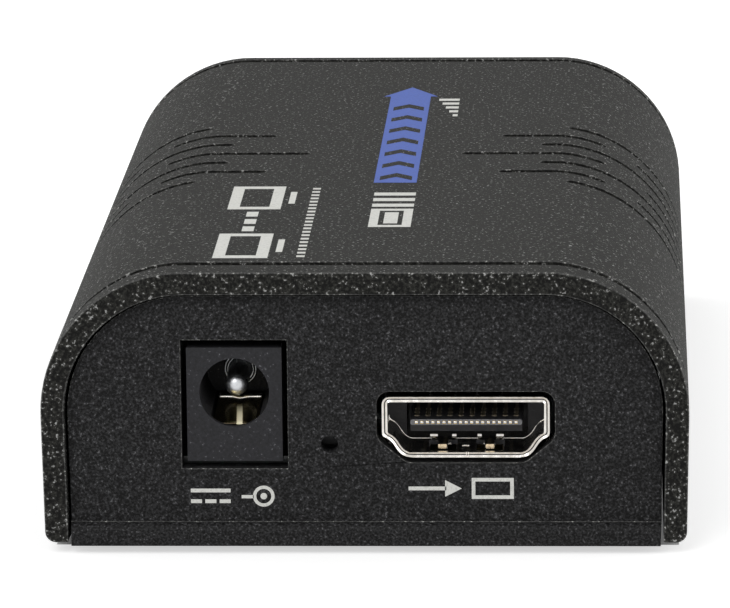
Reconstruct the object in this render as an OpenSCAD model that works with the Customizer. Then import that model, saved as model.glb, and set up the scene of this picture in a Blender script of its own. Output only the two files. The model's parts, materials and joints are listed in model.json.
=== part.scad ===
// Video extender box: a low plastic casing with round shoulders, vent slots and sockets at both ends.
// Millimetres. X runs across, Y from the front panel to the back, Z up from the table.

/* [Casing] */
// Width of the casing over its widest part
case_w = 58.4; // [57:0.1:64]
// Height of the casing above the underside of its base
case_h = 25.3; // [25:0.1:30]
// Depth of the casing from its front rim to its back rim
case_l = 107; // [104:1:125]
// Radius of the two top shoulders
shoulder_r = 13; // [11:0.5:14]
// Wall thickness of the cover
cover_wall = 2.1; // [1.6:0.1:2.4]
// Lean of the side walls below the shoulders, in degrees
side_draft = 1; // [0:0.25:1.5]
// Height of the cover's lower edges above the underside of the base
cover_lift = 0.3; // [0.2:0.1:0.8]
// Radius of the cover's lower outer edges
edge_r = 1; // [0.4:0.1:1.5]
// Width of the groove round each end of the cover
groove_w = 1.45; // [0.8:0.05:2]
// Depth of that groove
groove_depth = 0.5; // [0.3:0.1:0.8]
// Distance of the front groove from the front rim
front_groove = 3.3; // [2:0.1:6]
// Distance of the back groove from the back rim
back_groove = 1.1; // [0.8:0.1:6]

/* [Vents] */
// Width of a vent slot
vent_w = 1.3; // [0.8:0.1:1.8]
// Distance from one row of slots to the next
vent_pitch = 4.46; // [3.6:0.02:5]
// Place of the middle row behind the middle of the casing
vent_middle = 1.2; // [-4:0.1:4]

/* [Base] */
// Thickness of the floor
floor_t = 2; // [1.6:0.1:2.4]
// Thickness of the front and back panels
panel_t = 1.8; // [1.4:0.1:2.4]
// Distance of each panel behind the rim of the cover
panel_recess = 1; // [0.4:0.1:1.6]
// Gap between the base and the cover
panel_gap = 0.25; // [0.15:0.05:0.4]
// Height of the board's underside above the floor
post_h = 4; // [3.5:0.1:5]
// Outside diameter of the posts that carry the board
post_d = 6.6; // [6.2:0.1:7]

/* [Feet and screws] */
// Diameter of a rubber foot
foot_d = 8; // [7.5:0.1:8.4]
// Height of a foot below the base
foot_out = 0.8; // [0.6:0.1:1.5]
// Thread diameter of the cover screws
screw_d = 2.5; // [2:0.1:2.6]
// Length of the cover screws under their heads
screw_l = 10; // [8:0.5:11]
// Diameter of the screw heads
screw_head_d = 4.4; // [3.8:0.1:4.5]

/* [Main board] */
// Thickness of the board
board_t = 1.6; // [1.2:0.1:2]
// Gap round the board
board_gap = 0.6; // [0.3:0.1:1]

/* [Power jack] */
// Place of the jack to the side of the middle
jack_x = -11.75; // [-13.5:0.05:-11]
// Width of the jack
jack_w = 8.6; // [8.4:0.1:9]
// Height of the jack above the board
jack_h = 10.5; // [10.4:0.1:11]
// Depth of the jack
jack_l = 14.2; // [13.6:0.1:15]
// Height of the plug hole's axis above the board
jack_axis_h = 6.35; // [6.2:0.05:6.5]
// Diameter of the plug hole
jack_bore_d = 6.3; // [5.9:0.1:6.5]
// Diameter of the centre pin
jack_pin_d = 2.05; // [1.6:0.05:2.5]
// Diameter of the plug that the jack takes
plug_d = 5.5; // [5:0.1:5.6]
// Travel of the leaf spring at its hump when the plug goes in
leaf_travel = 0.43; // [0.2:0.01:0.5]

/* [Reset switch] */
// Place of the switch to the side of the middle
reset_x = -3.2; // [-3.4:0.1:-2.2]
// Diameter of the pinhole in the front panel
reset_hole_d = 1.56; // [1.2:0.02:2]
// Height of the plunger's axis above the board
reset_axis_h = 1.6; // [1.4:0.1:1.9]
// Travel of the plunger
reset_travel = 0.25; // [0.15:0.01:0.35]

/* [Video socket] */
// Place of the socket to the side of the middle
video_x = 9.1; // [8.6:0.1:11]
// Width of the shield
video_w = 15.1; // [14.8:0.1:15.4]
// Height of the shield
video_h = 5.6; // [5.4:0.1:5.8]
// Depth of the shield
video_l = 11.9; // [11:0.1:13]
// Distance from one contact to the next
contact_pitch = 0.5; // [0.46:0.01:0.52]

/* [Network socket] */
// Place of the socket to the side of the middle
net_x = 9; // [8.2:0.1:10]
// Width of the shield
net_w = 15.9; // [15.6:0.1:16.4]
// Height of the shield above the board
net_h = 13.4; // [13.2:0.1:13.8]
// Depth of the socket
net_l = 18; // [17:0.5:21]
// Distance from one spring contact to the next
wire_pitch = 1.02; // [0.9:0.01:1.1]

/* [Infrared jack] */
// Place of the jack to the side of the middle
ir_x = -7; // [-8:0.1:-5]
// Height of the plug hole's axis above the board
ir_axis_h = 2.9; // [2.8:0.05:3.1]
// Diameter of the plug hole
ir_bore_d = 3.6; // [3.55:0.01:3.7]

/* [Status lamps] */
// Place of the first lamp to the side of the middle
lamp_x = -12.9; // [-13.2:0.1:-12.4]
// Distance between the two lamps
lamp_pitch = 3.9; // [3.7:0.1:4.1]
// Diameter of a lamp
lamp_d = 3; // [2.6:0.1:3]

/* [Processor] */
// Side of the processor chip
chip_w = 14; // [12:0.5:17]
// Side of the heat sink
sink_w = 22; // [18:0.5:23]
// Height of the heat sink
sink_h = 6.4; // [4:0.1:9]

/* [Hidden] */
$fn = 48;

// How far a cut runs past what it cuts
over = 1;
// Clearance of a fixed piece in its seat
play = 0.05;
// Segments on each rounded corner of an outline
corner_steps = 6;

// Casing
shoulder_x = case_w / 2 - shoulder_r;
shoulder_z = case_h - shoulder_r;
face_y = -case_l / 2 + panel_recess;
back_y = case_l / 2 - panel_recess;
lip_r = 0.7;
rib_t = 1.4;
rib_h = 3.2;
reach = shoulder_r / 2;

// Vents, row by row from the back: where each slot starts across the half width, where it ends up the
// straight side, and the angle round the shoulder at which the lower part of a broken slot starts again
vent_start_shares = [0.61, 0.385, 0.52, 0.255, 0.52, 0.385, 0.61];
vent_end_shares = [0.823, 0.617, 0.74, 0.535, 0.74, 0.617, 0.823];
vent_restart = [0, 40, 0, 46, 0, 40, 0];
vent_break = 24.5;
vent_turn = atan(vent_w / 2 / shoulder_r);

// Board
board_z = floor_t + post_h;
board_top = board_z + board_t;
board_w = 2 * (side_x(board_z, cover_wall) - board_gap);
board_l = case_l - 2 * (panel_recess + panel_t + board_gap / 2);
post_inset = 4.3;
post_x = board_w / 2 - post_inset;
post_y = board_l / 2 - post_inset;
corners = [for (sx = [-1, 1], sy = [-1, 1]) [sx * post_x, sy * post_y]];

// Screws and feet
foot_t = 1.2;
foot_seat = foot_t - foot_out;
foot_play = 0.15;
seat_z = 3;
head_t = 1.4;
head_play = 0.15;
counterbore_d = screw_head_d + 2 * head_play;
shank_play = 0.15;
shank_hole_d = screw_d + 2 * shank_play;
boss_d = 5.6;
boss_gap = 0.1;
cross_w = 0.7;
cross_l = 2.4;

// Power jack
jack_setback = 0.3;
jack_y = face_y + jack_setback;
jack_front_l = 3.4;
jack_side_gap = 0.5;
jack_low_gap = 0.62;
jack_high_gap = 0.75;
jack_bore_l = 10;
jack_axis_z = board_top + jack_axis_h;
jack_body_r = jack_h - jack_axis_h;
pin_start = 2.5;
pin_collar_d = 2.9;
leaf_w = 4.2;
leaf_t = 0.3;
leaf_play = 0.15;
leaf_root_share = 0.873;
leaf_root_h = 1.9;
leaf_hump_h = jack_axis_h - plug_d / 2 + leaf_travel - leaf_t / 2;
leaf_place_shares = [leaf_root_share, 0.76, 0.64, 0.58, 0.30, 0.06];
leaf_rise_shares = [0, 0.2, 1, 1, 0.82, 0.62];
channel_h = 1;
channel_from = 0.6;
terminal_w = 1.2;
terminal_t = 0.4;
terminal_out = 1;
terminal_hole_d = 1.7;
leaf_terminal_y = jack_y + leaf_root_share * jack_l + leaf_t / 2;
switch_slot_l = 4;
switch_slot_y = jack_y + jack_l / 2;
switch_slot_h = jack_axis_h * 0.6;
switch_plate_t = 0.3;
switch_plate_x = jack_x + jack_bore_d / 2 + switch_plate_t / 2 + play * 2;

// Reset switch
reset_w = 6;
reset_l = 3.5;
reset_h = 3.3;
reset_sheet = 0.2;
plunger_w = 2.6;
plunger_h = 1.3;
plunger_out = 0.9;
plunger_in = 1.2;
plunger_play = 0.06;
reset_y = face_y + panel_t + plunger_out + board_gap;

// Video socket
video_stand = 0.4;
video_z = board_top + video_stand;
video_gap = 0.48;
video_flat_share = 0.68;
video_rise_share = 0.35;
video_lip_t = 0.48;
video_lip_l = 0.5;
video_sheet = 0.3;
video_step = 0.1;
video_outline = [
    [-video_w / 2 * video_flat_share, 0], [video_w / 2 * video_flat_share, 0],
    [video_w / 2, video_h * video_rise_share], [video_w / 2, video_h],
    [-video_w / 2, video_h], [-video_w / 2, video_h * video_rise_share]
];
video_radii = [1, 1, 0.8, 0.7, 0.7, 0.8];
video_block_from = 7.4;
video_block_out = 0.8;
tongue_w = 10.1;
tongue_t = 1.25;
tongue_tip_t = 0.56;
tongue_from = 1.5;
tongue_axis_h = 2.9;
tongue_z = video_z + tongue_axis_h;
tongue_slope_l = 0.6;
contact_count = 19;
contact_w = 0.26;
contact_t = 0.24;
contact_play = 0.02;
contact_tail_l = 0.9;
finger_w = 2.2;
finger_tip_w = 0.85;
finger_l = 4.1;
finger_rise = 0.6;
finger_place_shares = [-0.07, 0.3, 0.9, 1];
finger_rise_shares = [0, 1, 0.75, 0.45];
finger_taper_shares = [0.3, 0.62];
window_w = 2.4;
window_l = 4.3;
window_from = 1;
window_x = 2.1;
liner_from = 5.7;
liner_t = 0.35;
video_leg_l = 1.2;
video_leg_places = [3.6, 9.6];

// Network socket
net_out = 0.4;
net_face = back_y + net_out;
net_gap = 0.3;
net_sheet = 0.25;
plug_w = 11.8;
plug_h = 6.8;
plug_l = 12.6;
latch_w = 6.3;
latch_h = 2.4;
plug_floor_h = 4;
plug_z = board_top + plug_floor_h;
wire_w = 0.35;
wire_t = 0.3;
wire_count = 8;
wire_turn = 9;
wire_root = [1.4, 0.5];
wire_tip = [9.7, -2.15];
wire_knee = [2.1, -0.35];
comb_play = 0.35;
net_pin_d = 0.5;
net_pin_out = 1.2;
net_pin_h = 2.4;
net_pin_rows = [10.4, 13];
net_tab_l = 1.4;
net_tab_y = 8;
window_size = [2.6, 1.9];
window_t = 3;
window_z = board_top + net_h - net_sheet - window_size[1] - 3 * play;
window_x_gap = net_w / 2 - net_sheet - window_size[0] / 2 - 4 * play;

// Infrared jack
ir_w = 6.4;
ir_h = 5.6;
ir_l = 12;
ir_nose_d = 5.4;
ir_face = back_y;
ir_body_y = back_y - panel_t - board_gap / 2;
ir_bore_l = 4;
ir_chamber_d = 4.4;
ir_chamber_l = 13.2;
ir_spring_t = 0.2;
ir_spring_h = 1.4;
ir_spring_root = [2.05, 6.4];
ir_spring_bump = [1.65, 11.2];
ir_spring_tip = [2.05, 12.2];
ir_slot_play = 0.2;
ir_pin_d = 0.8;
ir_pin_h = 0.5;
ir_pins = [[-1.8, 4.4], [-1.8, 10.6]];
ir_plate_t = 0.4;
ir_plate_y = ir_face - ir_spring_root[1] + play + ir_plate_t / 2;
ir_side_wall = 0.45;

// Status lamps
lamp_l = 4.6;
lamp_setback = 0.2;
lamp_flange_d = 3.4;
lamp_flange_t = 0.7;
lamp_hole_play = 0.1;
lamp_leg = 0.45;
lamp_leg_pitch = 1.9;
lamp_leg_bend = 1.2;
lamp_axis_h = ir_axis_h;
lamp_places = [lamp_x, lamp_x - lamp_pitch];
lamp_leg_y = back_y - lamp_setback - lamp_l - lamp_leg_bend;

// Pieces on the board: middle of each as shares of the board's half width and half depth
chip_share = [0.19, -0.20];
memory_share = [-0.54, -0.20];
flash_share = [-0.54, 0.08];
network_share = [0.34, 0.26];
transformer_share = [0.34, 0.49];
crystal_shares = [[-0.22, 0.25], [0.80, -0.22]];
inductor_shares = [[-0.64, -0.50], [-0.66, 0.28]];
can_base = 6.6;
electrolytic_x_shares = [-0.37, -0.09];
electrolytic_gap = 1.7;
electrolytic_y = jack_y + jack_l + electrolytic_gap + can_base / 2;
regulator_shares = [[-0.64, 0.47], [-0.64, 0.64]];
fuse_share = [-0.78, -0.66];
chip_t = 1.2;
pad_t = 0.5;
pad_share = 0.85;
sink_base_t = 1.6;
fin_t = 1;
fin_count = 8;
receiver_size = [9, 9, 0.9];
receiver_x_share = 0.35;
receiver_gap = 3.15;
receiver_y = face_y + video_l + video_block_out + contact_tail_l + receiver_gap + receiver_size[1] / 2;
memory_size = [8, 12, 1.1];
flash_size = [5, 4, 1.6];
network_size = [7, 7, 0.9];
transformer_size = [12.7, 7.2, 5.2];
crystal_size = [10.8, 4.4, 3.5];
inductor_size = [6, 6, 3];
inductor_r = 1.2;
can_d = 6.3;
can_h = 5.6;
can_base_t = 0.5;
regulator_size = [6.5, 3.5, 1.6];
fuse_size = [3.2, 1.6, 0.7];
capacitor_size = [0.8, 1.6, 0.8];
resistor_size = [1.6, 0.8, 0.45];
small_pitch = 2.3;
capacitor_count = 8;
resistor_count = 7;
capacitor_row_shares = [[-0.325, -0.36], [0.68, 0.03]];
resistor_row_shares = [[-0.05, 0.10], [-0.12, -0.46]];
leg_w = 0.4;
leg_t = 0.2;
leg_out = 0.9;
leg_rise_share = 0.4;
leg_gap = 0.02;

// Place of one leg of the network socket
function net_pin_x(i) = net_x + wire_pitch * (i - (wire_count - 1) / 2);
function net_pin_y(i) = net_face - net_pin_rows[i % 2];

// Place of one contact of the video socket
function contact_x(i) = video_x + contact_pitch * (i - (contact_count - 1) / 2);

// Half width of a profile of the casing at a height, set in from the outside
function side_x(z, inset) =
    shoulder_x + (shoulder_r - inset + (z - shoulder_z) * sin(side_draft)) / cos(side_draft);

// A point round the right shoulder, by radius and by angle from straight up
function round_shoulder(r, turn) = [shoulder_x + r * sin(turn), shoulder_z + r * cos(turn)];

function unit(v) = v / norm(v);

// Corner of an outline moved inwards by a distance
function moved_corner(before, p, after, inset) =
    let (u = unit(before - p), v = unit(after - p), half = acos(u * v) / 2)
    p + unit(u + v) * inset / sin(half);

// Convex outline set in by a distance, or set out by a negative one
function inset_points(points, inset) = [
    for (i = [0 : len(points) - 1])
        moved_corner(points[(i + len(points) - 1) % len(points)], points[i],
            points[(i + 1) % len(points)], inset)
];

// Arc that rounds one corner of an outline
function corner_arc(before, p, after, r) =
    let (u = unit(before - p), v = unit(after - p), half = acos(u * v) / 2,
        centre = p + unit(u + v) * r / sin(half),
        start = p + u * r / tan(half) - centre,
        finish = p + v * r / tan(half) - centre,
        from = atan2(start[1], start[0]),
        sweep = (atan2(finish[1], finish[0]) - from + 540) % 360 - 180)
    [for (k = [0 : corner_steps]) centre + r * [cos(from + sweep * k / corner_steps),
        sin(from + sweep * k / corner_steps)]];

// Outline with its corners rounded, each by its own radius
function rounded(points, radii) = [
    for (i = [0 : len(points) - 1])
        each radii[i] > 0
            ? corner_arc(points[(i + len(points) - 1) % len(points)], points[i],
                points[(i + 1) % len(points)], radii[i])
            : [points[i]]
];

// Sideways direction of a path at one of its points
function path_side(points, i) =
    let (d = unit(points[min(i + 1, len(points) - 1)] - points[max(i - 1, 0)]))
    [-d[1], d[0]];

// Outline of a strip of even thickness along a path
function strip(points, t) = concat(
    [for (i = [0 : len(points) - 1]) points[i] + path_side(points, i) * t / 2],
    [for (i = [len(points) - 1 : -1 : 0]) points[i] - path_side(points, i) * t / 2]
);

// Place on the board from shares of its half width and half depth
function board_place(share) = [share[0] * board_w / 2, share[1] * board_l / 2, board_top];

// Raises a piece from the base's own level to the table's
module lift() translate([0, 0, foot_out]) children();

// Profile drawn in width and height, run from one depth to another
module along_y(y0, y1) translate([0, y1, 0]) rotate([90, 0, 0]) linear_extrude(y1 - y0) children();

// Profile drawn in depth and height, run across, with its middle at x
module along_x(x, w) translate([x - w / 2, 0, 0]) rotate([90, 0, 90]) linear_extrude(w) children();

// Block with its middle at x, from y and z
module block(x, y, z, w, l, h) translate([x - w / 2, y, z]) cube([w, l, h]);

module rod_y(x, z, y0, y1, d) translate([x, y1, z]) rotate([90, 0, 0]) cylinder(h = y1 - y0, d = d);

module rod_z(x, y, z0, z1, d) translate([x, y, z0]) cylinder(h = z1 - z0, d = d);

// Profile of the casing, set in from the outside, down to a given height, with round lower corners
module arch(inset, bottom, corner_r = 0) {
    r = shoulder_r - inset;
    tangent = [shoulder_x + r * cos(side_draft), shoulder_z - r * sin(side_draft)];
    for (s = [-1, 1]) intersection() {
        translate([s * shoulder_x, shoulder_z]) circle(r = r);
        translate([-case_w, max(bottom, tangent[1] - r / 2)]) square([2 * case_w, 2 * case_h]);
    }
    polygon(rounded([
        [-side_x(bottom, inset), bottom], [side_x(bottom, inset), bottom], tangent,
        [shoulder_x, case_h - inset], [-shoulder_x, case_h - inset], [-tangent[0], tangent[1]]
    ], [corner_r, corner_r, 0, 0, 0, 0]));
}

// Ring-shaped cut for a groove that starts at a depth
module groove(y) along_y(y, y + groove_w) difference() {
    arch(-over, cover_lift - over);
    arch(groove_depth, cover_lift - 2 * over);
}

// Round end of a slot, at an angle round the right shoulder
module vent_round(y, turn) translate([shoulder_x, y, shoulder_z]) rotate([0, turn, 0])
    translate([0, 0, shoulder_r - cover_wall - over])
        cylinder(h = cover_wall + 2 * over, d = vent_w);

// Top part of a slot, from its start to an angle round the shoulder
module vent_top(y, start, turn) {
    inner_r = shoulder_r - cover_wall - over;
    x = start + vent_w / 2;
    along_y(y - vent_w / 2, y + vent_w / 2) polygon([
        [x, case_h - cover_wall - over], round_shoulder(inner_r, turn),
        round_shoulder(shoulder_r + over, turn), [x, case_h + over]
    ]);
    rod_z(x, y, case_h / 2, case_h + over, vent_w);
}

// Side part of a slot, from an angle round the shoulder down to its end
module vent_side(y, turn, end) {
    z = end + vent_w / 2;
    inner_r = shoulder_r - cover_wall - over;
    along_y(y - vent_w / 2, y + vent_w / 2) polygon([
        round_shoulder(inner_r, turn), [shoulder_x + inner_r, shoulder_z],
        [shoulder_x + inner_r, z], [case_w / 2 + reach, z], [case_w / 2 + reach, shoulder_z],
        round_shoulder(shoulder_r + reach, turn)
    ]);
    translate([shoulder_x, y, z]) rotate([0, 90, 0]) cylinder(h = shoulder_r + over, d = vent_w);
}

// All cuts of one row on the right side
module vent_row(i) {
    y = vent_middle + vent_pitch * ((len(vent_start_shares) - 1) / 2 - i);
    start = vent_start_shares[i] * case_w / 2;
    end = vent_end_shares[i] * shoulder_z;
    if (vent_restart[i] == 0) {
        vent_top(y, start, vent_break);
        vent_side(y, vent_break, end);
    } else {
        vent_top(y, start, vent_break - vent_turn);
        vent_round(y, vent_break - vent_turn);
        vent_side(y, vent_restart[i] + vent_turn, end);
        vent_round(y, vent_restart[i] + vent_turn);
    }
}

module top_cover() color("#484842") lift() difference() {
    union() {
        along_y(-case_l / 2, case_l / 2) difference() {
            arch(0, cover_lift, edge_r);
            arch(cover_wall, cover_lift - over);
        }
        intersection() {
            along_y(-case_l / 2, case_l / 2) arch(cover_wall / 2, board_top);
            for (c = corners) rod_z(c[0], c[1], board_top + boss_gap, case_h, boss_d);
        }
    }
    groove(-case_l / 2 + front_groove);
    groove(case_l / 2 - back_groove - groove_w);
    for (i = [0 : len(vent_start_shares) - 1]) {
        vent_row(i);
        mirror([1, 0, 0]) vent_row(i);
    }
    for (c = corners)
        rod_z(c[0], c[1], board_top - over, seat_z + screw_l + screw_d / 4, screw_d + 2 * play);
}

// Cuts in the front panel for what shows through it
module front_cuts() {
    block(jack_x, face_y - over, board_top - jack_low_gap, jack_w + 2 * jack_side_gap,
        panel_t + 2 * over, jack_h + jack_low_gap + jack_high_gap);
    rod_y(reset_x, board_top + reset_axis_h, face_y - over, face_y + panel_t + over, reset_hole_d);
    along_y(face_y - over, face_y + panel_t + over) translate([video_x, video_z])
        polygon(rounded(inset_points(video_outline, -video_gap), [for (r = video_radii) r + video_gap]));
}

// Cuts in the back panel for what shows through it
module back_cuts() {
    block(net_x, back_y - panel_t - over, board_top - net_gap, net_w + 2 * net_gap,
        panel_t + 2 * over, net_h + 2 * net_gap);
    rod_y(ir_x, board_top + ir_axis_h, back_y - panel_t - over, back_y + over,
        ir_nose_d + 2 * net_gap);
    for (x = lamp_places)
        rod_y(x, board_top + lamp_axis_h, back_y - panel_t - over, back_y + over,
            lamp_d + 2 * lamp_hole_play);
}

module base_shell() color("#2a2a2a") lift() {
    base_half = side_x(0, cover_wall + panel_gap);
    difference() {
        union() {
            along_x(0, 2 * base_half) polygon(rounded([
                [-case_l / 2, 0], [case_l / 2, 0], [case_l / 2, floor_t], [-case_l / 2, floor_t]
            ], [0, 0, lip_r, lip_r]));
            along_y(face_y, face_y + panel_t) arch(cover_wall + panel_gap, 0);
            along_y(back_y - panel_t, back_y) arch(cover_wall + panel_gap, 0);
            for (s = [-1, 1])
                block(s * (base_half - rib_t / 2), face_y, 0, rib_t, back_y - face_y, floor_t + rib_h);
            for (c = corners) rod_z(c[0], c[1], floor_t / 2, board_z, post_d);
        }
        front_cuts();
        back_cuts();
        for (c = corners) {
            rod_z(c[0], c[1], -over, foot_seat, foot_d + 2 * foot_play);
            rod_z(c[0], c[1], -over, seat_z, counterbore_d);
            rod_z(c[0], c[1], -over, board_z + over, shank_hole_d);
        }
    }
}

module rubber_feet() color("#1c1c1c")
    for (c = corners) rod_z(c[0], c[1], 0, foot_t, foot_d);

module cover_screws() color("#8f8f8f") lift() for (c = corners) difference() {
    union() {
        rod_z(c[0], c[1], seat_z - head_t, seat_z, screw_head_d);
        rod_z(c[0], c[1], seat_z - head_t / 2, seat_z + screw_l, screw_d);
    }
    block(c[0], c[1] - cross_w / 2, seat_z - head_t - over, cross_l, cross_w, over + head_t / 2);
    block(c[0], c[1] - cross_l / 2, seat_z - head_t - over, cross_w, cross_l, over + head_t / 2);
}

// Every place where a leg goes through the board, and how wide its hole is
board_holes = concat(
    [for (c = corners) [c[0], c[1], shank_hole_d]],
    [[jack_x, jack_y + jack_l + terminal_t / 2, terminal_hole_d],
        [jack_x, leaf_terminal_y + terminal_t / 2, terminal_hole_d],
        [switch_plate_x, switch_slot_y + switch_slot_l / 2, terminal_hole_d]],
    [for (s = [-1, 1], y = video_leg_places)
        [video_x + s * (video_w / 2 - video_step - video_sheet / 2), face_y + y, terminal_hole_d]],
    [for (s = [-1, 1]) [net_x + s * (net_w - net_sheet) / 2, net_face - net_tab_y, terminal_hole_d]],
    [for (i = [0 : wire_count - 1]) [net_pin_x(i), net_pin_y(i), net_pin_d + 6 * play]],
    [for (p = ir_pins) [ir_x + p[0], ir_face - p[1], ir_pin_d + 6 * play]],
    [[ir_x + ir_spring_root[0], ir_plate_y, 2 * ir_plate_t]],
    [for (x = lamp_places, s = [-1, 1])
        [x + s * lamp_leg_pitch / 2, lamp_leg_y, 2 * lamp_leg + 2 * play]]
);

module main_board() color("#1b2420") lift() difference() {
    block(0, -board_l / 2, board_z, board_w, board_l, board_t);
    for (h = board_holes) rod_z(h[0], h[1], board_z - over, board_top + over, h[2]);
}

// Hollow tube of the video socket's section between two depths
module video_tube(y0, y1, inset, t) along_y(y0, y1) translate([video_x, video_z]) difference() {
    polygon(rounded(inset_points(video_outline, inset), [for (r = video_radii) r - inset]));
    polygon(rounded(inset_points(video_outline, inset + t), [for (r = video_radii) r - inset - t]));
}

// Bent spring finger of the shield, rising from a floor level in a given direction
module video_finger(x, z, up) {
    y = face_y + window_from + window_l;
    half = finger_w / 2;
    tip_half = finger_tip_w / 2;
    taper = [for (share = finger_taper_shares) -share * finger_l];
    intersection() {
        along_x(x, finger_w + over) polygon(strip([for (i = [0 : len(finger_place_shares) - 1])
            [y - finger_place_shares[i] * finger_l, z + up * finger_rise_shares[i] * finger_rise]
        ], video_sheet));
        translate([x, y, video_z - over]) linear_extrude(video_h + 2 * over) polygon([
            [-half, over], [-half, taper[0]], [-tip_half, taper[1]], [-tip_half, -finger_l - over],
            [tip_half, -finger_l - over], [tip_half, taper[1]], [half, taper[0]], [half, over]
        ]);
    }
}

module video_socket_shield() color("#d8d8dc") lift() {
    low_z = video_z + video_step + video_sheet / 2;
    high_z = video_z + video_h - video_step - video_sheet / 2;
    difference() {
        union() {
            video_tube(face_y, face_y + video_lip_l, 0, video_lip_t);
            video_tube(face_y + video_lip_l - play, face_y + video_l, video_step, video_sheet);
        }
        for (s = [-1, 1])
            block(video_x + s * window_x, face_y + window_from, video_z - over, window_w, window_l,
                video_h + 2 * over);
    }
    for (s = [-1, 1]) {
        video_finger(video_x + s * window_x, low_z, 1);
        video_finger(video_x + s * window_x, high_z, -1);
        for (y = video_leg_places)
            block(video_x + s * (video_w / 2 - video_step - video_sheet / 2),
                face_y + y - video_leg_l / 2, board_z - terminal_out, video_sheet, video_leg_l,
                video_z + video_h / 2 - board_z + terminal_out);
    }
}

module video_socket_insulator() color("#161616") lift() {
    inset = video_step + video_sheet + play;
    block_y = face_y + video_block_from;
    tip_y = face_y + tongue_from;
    wide = contact_w + 2 * contact_play;
    difference() {
        union() {
            along_y(block_y, face_y + video_l + video_block_out) translate([video_x, video_z])
                polygon(rounded(inset_points(video_outline, inset), [for (r = video_radii) r - inset]));
            along_y(face_y + liner_from, block_y + play) translate([video_x, video_z]) difference() {
                polygon(rounded(inset_points(video_outline, inset), [for (r = video_radii) r - inset]));
                polygon(inset_points(video_outline, inset + liner_t));
            }
            along_x(video_x, tongue_w) polygon([
                [tip_y, tongue_z - tongue_tip_t / 2],
                [tip_y + tongue_slope_l, tongue_z + tongue_tip_t / 2 - tongue_t],
                [block_y + over, tongue_z + tongue_tip_t / 2 - tongue_t],
                [block_y + over, tongue_z + tongue_tip_t / 2], [tip_y, tongue_z + tongue_tip_t / 2]
            ]);
        }
        for (i = [0 : contact_count - 1]) {
            up = i % 2 == 0 ? 1 : -1;
            tall = contact_t + 2 * contact_play;
            block(contact_x(i), tip_y - over, tongue_z - tall / 2, wide,
                video_l + video_block_out + over, tall);
            block(contact_x(i), tip_y - over, tongue_z - (up > 0 ? 0 : tongue_t), wide,
                video_block_from - tongue_from + over, tongue_t);
        }
    }
}

module video_socket_contacts() color("#c9a85a") lift() {
    back = face_y + video_l + video_block_out;
    y0 = face_y + tongue_from - contact_play;
    y1 = back + contact_t;
    for (i = [0 : contact_count - 1]) {
        block(contact_x(i), y0, tongue_z - contact_t / 2, contact_w, y1 - y0, contact_t);
        block(contact_x(i), back + play, board_top, contact_w, contact_t, tongue_z - board_top);
        block(contact_x(i), back + play, board_top, contact_w, contact_tail_l, contact_t);
    }
}

module dc_jack_housing() color("#3a3a3c") lift() {
    leaf_half = leaf_w / 2 + leaf_play;
    leaf_top = jack_axis_z - sqrt(pow(jack_bore_d / 2, 2) - pow(leaf_half, 2));
    channel_end = leaf_terminal_y + terminal_t + leaf_play;
    slot_x = switch_plate_x - switch_plate_t / 2 - play;
    difference() {
        union() {
            block(jack_x, jack_y, board_top, jack_w, jack_front_l, jack_h);
            along_y(jack_y + jack_front_l - play, jack_y + jack_l) translate([jack_x, jack_axis_z]) {
                circle(r = jack_body_r);
                translate([-jack_body_r, -jack_axis_h]) square([2 * jack_body_r, jack_axis_h]);
            }
        }
        rod_y(jack_x, jack_axis_z, jack_y - over, jack_y + jack_bore_l, jack_bore_d);
        rod_y(jack_x, jack_axis_z, jack_y, jack_y + jack_l + over, pin_collar_d + 2 * play);
        block(jack_x, jack_y + channel_from, board_top + channel_h, 2 * leaf_half,
            channel_end - jack_y - channel_from, leaf_top - board_top - channel_h);
        block(jack_x, leaf_terminal_y - leaf_play, board_top - over, terminal_w + 2 * leaf_play,
            terminal_t + 2 * leaf_play, over + channel_h * 2);
        translate([slot_x, switch_slot_y, board_top - over])
            cube([jack_x + jack_w / 2 + over - slot_x, switch_slot_l, over + switch_slot_h]);
    }
}

module dc_jack_pin() color("#c8c8cc") lift() {
    tip = jack_y + pin_start + jack_pin_d / 2;
    rod_y(jack_x, jack_axis_z, tip, jack_y + jack_bore_l, jack_pin_d);
    translate([jack_x, tip, jack_axis_z]) sphere(d = jack_pin_d);
    rod_y(jack_x, jack_axis_z, jack_y + jack_bore_l - pin_collar_d / 4, jack_y + jack_l + 2 * play,
        pin_collar_d);
    block(jack_x, jack_y + jack_l + play, board_z - terminal_out, terminal_w, terminal_t,
        jack_axis_z + terminal_w / 2 - board_z + terminal_out);
}

module dc_jack_spring() color("#cdb36a") lift() along_x(jack_x, leaf_w)
    polygon(strip([for (i = [0 : len(leaf_place_shares) - 1]) [
        jack_y + leaf_place_shares[i] * jack_l,
        board_top + leaf_root_h + leaf_rise_shares[i] * (leaf_hump_h - leaf_root_h)
    ]], leaf_t));

module dc_jack_spring_terminal() color("#c8c8cc") lift()
    block(jack_x, leaf_terminal_y, board_z - terminal_out, terminal_w, terminal_t,
        board_t + terminal_out + leaf_root_h + leaf_t / 2);

module dc_jack_switch_contact() color("#c8c8cc") lift() {
    block(switch_plate_x, switch_slot_y + play, board_top + play, switch_plate_t,
        switch_slot_l - 2 * play, switch_slot_h - 2 * play);
    block(switch_plate_x, switch_slot_y + (switch_slot_l - terminal_w) / 2, board_z - terminal_out,
        switch_plate_t, terminal_w, board_t + terminal_out + over);
}

module reset_switch_body() color("#1d1d1f") lift() difference() {
    block(reset_x, reset_y, board_top, reset_w, reset_l, reset_h);
    block(reset_x, reset_y - over, board_top + reset_axis_h - plunger_h / 2 - plunger_play,
        plunger_w + 2 * plunger_play, over + plunger_in + 2 * reset_travel,
        plunger_h + 2 * plunger_play);
}

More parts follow.
